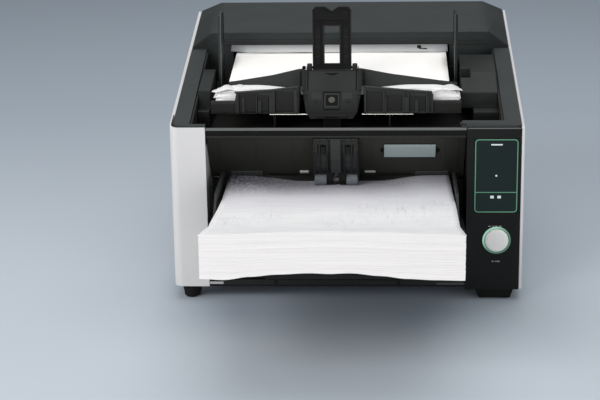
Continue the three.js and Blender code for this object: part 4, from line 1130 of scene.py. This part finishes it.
# -------------------------------------------------------------------- stacker guides
for nm, x0, x1, edge in (("left", -176.8, -175.9, -176.3), ("right", 145.7, 146.6, 146.1)):
    body = "stacker_guide_" + nm
    prism("stacker_guide_rim_%s" % nm, [(x0, 173.6, 240), (x0, 173.6, 326), (x0, 184, 342.3), (x0, 187, 342.3), (x0, 176.8, 325), (x0, 176.8, 240)], (x1 - x0, 0, 0), "guide_edge", body, 0.3)
    prism("stacker_guide_rim_rear_%s" % nm, [(x0, 223, 240), (x0, 226.3, 240), (x0, 226.3, 334), (x0, 219, 342), (x0, 216, 342), (x0, 223, 332)], (x1 - x0, 0, 0), "dark", body, 0.3)
    for k, z in enumerate((262, 290, 318)):
        prism("stacker_guide_rung_%s_%d" % (nm, k), [(x0, 177, z), (x0, 223, z), (x0, 223, z + 1.4), (x0, 177, z + 1.4)], (x1 - x0, 0, 0), "dark", body, 0.25)
    fx = -172 if nm == "left" else 142
    rbox("stacker_guide_foot_%s" % nm, fx - 3.6, fx + 3.6, 178, 222, 211.6, 214.2, "darker", body, 0.8)

# ------------------------------------------------------------------------ hood
# darker undercut over the exit slot and its fine lines
prism("hood_lower_band", [(-196, 261.9, 284.2), (196, 261.9, 284.2), (196, 261.9, 291.4), (-196, 261.9, 291.4)], (0, 1.3, 0), "slate_deep", "top_unit", 0.4)
prism("hood_band_line", [(-197, 261.2, 291.2), (197, 261.2, 291.2), (197, 261.2, 292.2), (-197, 261.2, 292.2)], (0, 2.0, 0), "slate", "top_unit", 0.3)
prism("hood_crease_line", [(-197, 262.2, 301.8), (197, 262.2, 301.8), (197, 263.8, 303.7), (-197, 263.8, 303.7)], (0, 1.0, 0), "slate", "top_unit", 0.4)
rbox("exit_flag", 98.6, 110.0, 250.5, 252.0, 276.8, 281.5, "pit", "top_unit", 0.4)
rbox("exit_flag_stem", 96.0, 101.5, 251.0, 262.5, 281.6, 284.4, "pit", "top_unit", 0.4)
for i, x in enumerate((-140, -88, -36, 28, 72, 126)):
    rbox("exit_rib_%d" % i, x, x + 2.2, 262.6, 268.0, 284.8, 288.6, "pit", "top_unit", 0.4)

# ---------------------------------------------------------------- operator column
for i, (x, w, z) in enumerate(((186.6, 3.4, 95.8), (191.3, 2.2, 95.8), (195.2, 3.2, 95.8), (200.4, 3.0, 95.8), (191.4, 2.6, 47.6), (195.6, 2.0, 47.6), (198.9, 3.0, 47.6))):
    rbox("column_mark_%d" % i, x - w / 2, x + w / 2, -0.18, 0.1, z - 0.8, z + 0.8, "grey_mark", "base", 0.12)
# light strip along the column's top front edge: painted highlight
prism("column_top_edge", [(156.2, -0.1, 226.9), (225.2, -0.1, 226.9), (225.2, -0.1, 228.1), (156.2, -0.1, 228.1)], (0, 2.4, 0), "painted_highlight_strip", "base", 0.35)
# light well round the button
verts, faces = [], []
n = 64
prof = [(16.1, -0.75), (17.0, -1.0), (18.2, -0.85), (18.6, -0.2)]
for i in range(n):
    t = 2 * math.pi * i / n
    for r, yy in prof:
        verts.append((196 + r * math.cos(t), yy, 76.7 + r * math.sin(t)))
for i in range(n):
    k = (i + 1) % n
    for j in range(len(prof) - 1):
        faces.append([i * 4 + j, i * 4 + j + 1, k * 4 + j + 1, k * 4 + j])
    faces.append([i * 4 + 3, i * 4, k * 4, k * 4 + 3])
new_obj("button_light_lens", verts, faces, "halo", "base", smooth=True)
rbox("column_lower_seam", 158.5, 222.5, -0.12, 0.1, 22.6, 23.2, "black", "base", 0.1)

# ----------------------------------------------------------- front, below the stack
for i, (x0, x1) in enumerate(((-181, -96), (-92, 66), (70, 153))):
    rbox("lower_front_rib_%d" % i, x0, x1, 0.2, 1.2, 14.0, 20.5, "darker", "base", 0.5)
for i, x in enumerate((-170, -60, 40, 140)):
    rbox("lower_front_stud_%d" % i, x, x + 6, 0.6, 2.2, 26, 40, "darker", "base", 0.6)
rbox("lower_front_line", -181.5, 154, 1.3, 2.2, 50.5, 51.8, "dark", "base", 0.3)

rbox("lower_front_plate_left", -182.4, -164, -0.2, 1.4, 15.2, 18.6, "light_tab", "base", 0.4)
rbox("lower_front_plate_right", 118, 155, -0.2, 1.4, 14.6, 17.8, "grey_plate", "base", 0.4)
# bowl round the left front foot and a groove on the right front foot
verts, faces = [], []
n = 40
prof = [(9.9, -3.6), (10.8, -2.0), (12.2, 3.5), (12.8, 8.5), (12.4, 11.6), (10.6, 11.8)]
for i in range(n):
    t = 2 * math.pi * i / n
    for r, z in prof:
        verts.append((-207.4 + r * math.cos(t), 16.2 + r * math.sin(t), z))
m_ = len(prof)
for i in range(n):
    k = (i + 1) % n
    for j in range(m_):
        l = (j + 1) % m_
        faces.append([i * m_ + j, k * m_ + j, k * m_ + l, i * m_ + l])
new_obj("foot_collar_front_left", verts, faces, "rubber", "base", smooth=True)
rbox("foot_front_right_groove", 170.5, 217.5, 3.2, 4.2, 6.6, 8.0, "black", "base", 0.3)

# ---------------------------------------------------------------- side covers
for nm, x, sg in (("left", -229.95, -1), ("right", 229.95, 1)):
    # pressed bead along the edges
    for k, (y0, y1, z0, z1) in enumerate(((18, 396, 20.5, 22.3), (18, 396, 24.8, 25.6))):
        rbox("side_bead_%s_%d" % (nm, k), min(x, x + sg * 0.5), max(x, x + sg * 0.5), y0, y1, z0, z1, "white", "base", 0.2)
    for k, (y, z) in enumerate(((386, 34), (386, 272), (60, 34))):
        screw("side_screw_%s_%d" % (nm, k), (x, y, z), (sg, 0, 0), 3.4, "base")
    # grip recess low on the side, with its rim; the recess is a flat near-black plate: painted shade
    pts = [(y, z) for y, z in rect_round(176, 262, 27.5, 45, 6.0)]
    prism("side_grip_%s" % nm, [(x, y, z) for y, z in pts], (sg * 0.35, 0, 0), "pit", "base", 0.15)
    a = rect_round(174, 264, 25.8, 46.8, 7.4)
    b = rect_round(176, 262, 27.6, 45, 6.0)
    nn = len(a)
    vv = [(x, p_, q_) for p_, q_ in a] + [(x, p_, q_) for p_, q_ in b] + [(x + sg * 0.6, p_, q_) for p_, q_ in a] + [(x + sg * 0.6, p_, q_) for p_, q_ in b]
    ff = []
    for i in range(nn):
        j = (i + 1) % nn
        ff += [[i, j, nn + j, nn + i], [2 * nn + i, 3 * nn + i, 3 * nn + j, 2 * nn + j], [i, 2 * nn + i, 2 * nn + j, j], [nn + i, nn + j, 3 * nn + j, 3 * nn + i]]
    new_obj("side_grip_rim_%s" % nm, vv, ff, "white", "base")
    # fine vent slots towards the rear
    for k in range(9):
        y = 318 + k * 7
        pts = rect_round(y, y + 2.6, 196, 224, 1.2, 3)
        prism("side_vent_%s_%d" % (nm, k), [(x, p_, q_) for p_, q_ in pts], (sg * 0.3, 0, 0), "pit", "base", 0.1)

# ----------------------------------------------------------------------- back
BK = 430.0
for k, (x, z) in enumerate(((-204, 24), (204, 24), (-204, 236), (204, 236), (0, 24), (0, 236))):
    screw("rear_screw_%d" % k, (x, BK, z), (0, 1, 0), 3.2, "base")
# raised border of the rear cover and blank rating plate
for nm, (x0, x1, z0, z1) in (("top", (-198, 198, 226.5, 228)), ("bottom", (-198, 198, 31.5, 33)), ("left", (-198, -196.5, 31.5, 228)), ("right", (196.5, 198, 31.5, 228))):
    rbox("rear_bead_%s" % nm, x0, x1, BK - 0.4, BK + 0.5, z0, z1, "slate", "base", 0.3)
rbox("rear_rating_plate", 18, 92, BK - 0.2, BK + 0.45, 120, 158, "grey_plate", "base", 0.3)
rbox("rear_rating_plate_field", 21, 89, BK + 0.2, BK + 0.7, 123, 155, "light_tab", "base", 0.3)
for k in range(4):
    rbox("rear_rating_plate_rule_%d" % k, 24, 86 - 9 * (k % 2), BK + 0.5, BK + 0.85, 128.5 + 6.4 * k, 129.3 + 6.4 * k, "grey_plate", "base", 0.1)
for k in range(7):
    rbox("rear_service_rib_%d" % k, -60 + 9 * k, -57.4 + 9 * k, BK - 0.3, BK + 0.9, 168, 212, "slate_rear", "base", 0.5)
# frame round the fan grille and cable clip beside the inlet
for nm, (x0, x1, z0, z1) in (("top", (-160, -80, 136, 138.4)), ("bottom", (-160, -80, 61.6, 64)), ("left", (-160, -157.6, 61.6, 138.4)), ("right", (-82.4, -80, 61.6, 138.4))):
    rbox("fan_grille_frame_%s" % nm, x0, x1, BK - 0.4, BK + 1.0, z0, z1, "slate_rear", "base", 0.5)
rbox("cable_clip_base", 170, 184, BK - 0.3, BK + 1.6, 44, 58, "black", "base", 0.6)
prism("cable_clip_hook", [(174, BK + 1.2, 47), (180, BK + 1.2, 47), (180, BK + 5.0, 49), (180, BK + 5.0, 56), (174, BK + 5.0, 56), (174, BK + 5.0, 49)], (0, 0.9, 0), "black", "base", 0.4)
for nm, (x0, x1, z0, z1) in (("inlet", (133.4, 166.6, 37.4, 63.6)), ("ports", (57.4, 112.6, 37.4, 60.6))):
    a = rect_round(x0, x1, z0, z1, 3.0)
    b = rect_round(x0 + 2.0, x1 - 2.0, z0 + 2.0, z1 - 2.0, 1.6)
    nn = len(a)
    vv = [(p_, BK - 0.3, q_) for p_, q_ in a] + [(p_, BK - 0.3, q_) for p_, q_ in b] + [(p_, BK + 0.9, q_) for p_, q_ in a] + [(p_, BK + 0.9, q_) for p_, q_ in b]
    ff = []
    for i in range(nn):
        j = (i + 1) % nn
        ff += [[i, j, nn + j, nn + i], [2 * nn + i, 3 * nn + i, 3 * nn + j, 2 * nn + j], [i, 2 * nn + i, 2 * nn + j, j], [nn + i, nn + j, 3 * nn + j, 3 * nn + i]]
    new_obj("rear_socket_frame_%s" % nm, vv, ff, "slate_rear", "base")

# ------------------------------------------------------------------ hood's rear
for k, x in enumerate((-150, 150)):
    rbox("hood_rear_latch_%d" % k, x - 14, x + 14, 429.4, 430.9, 268, 276, "slate_rear", "top_unit", 0.7)
rbox("hood_rear_line", -200, 200, 429.7, 430.5, 296.0, 297.2, "slate_rear", "top_unit", 0.25)


# ------------------------------------------------- sheets get their own mesh data
for o in SOFT_HOPPER:
    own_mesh(o)
for o in SOFT_STACKER:
    if "_left" in o.name:
        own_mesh(o)
    elif "_right" in o.name:
        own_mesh(o)
    else:
        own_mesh(o)
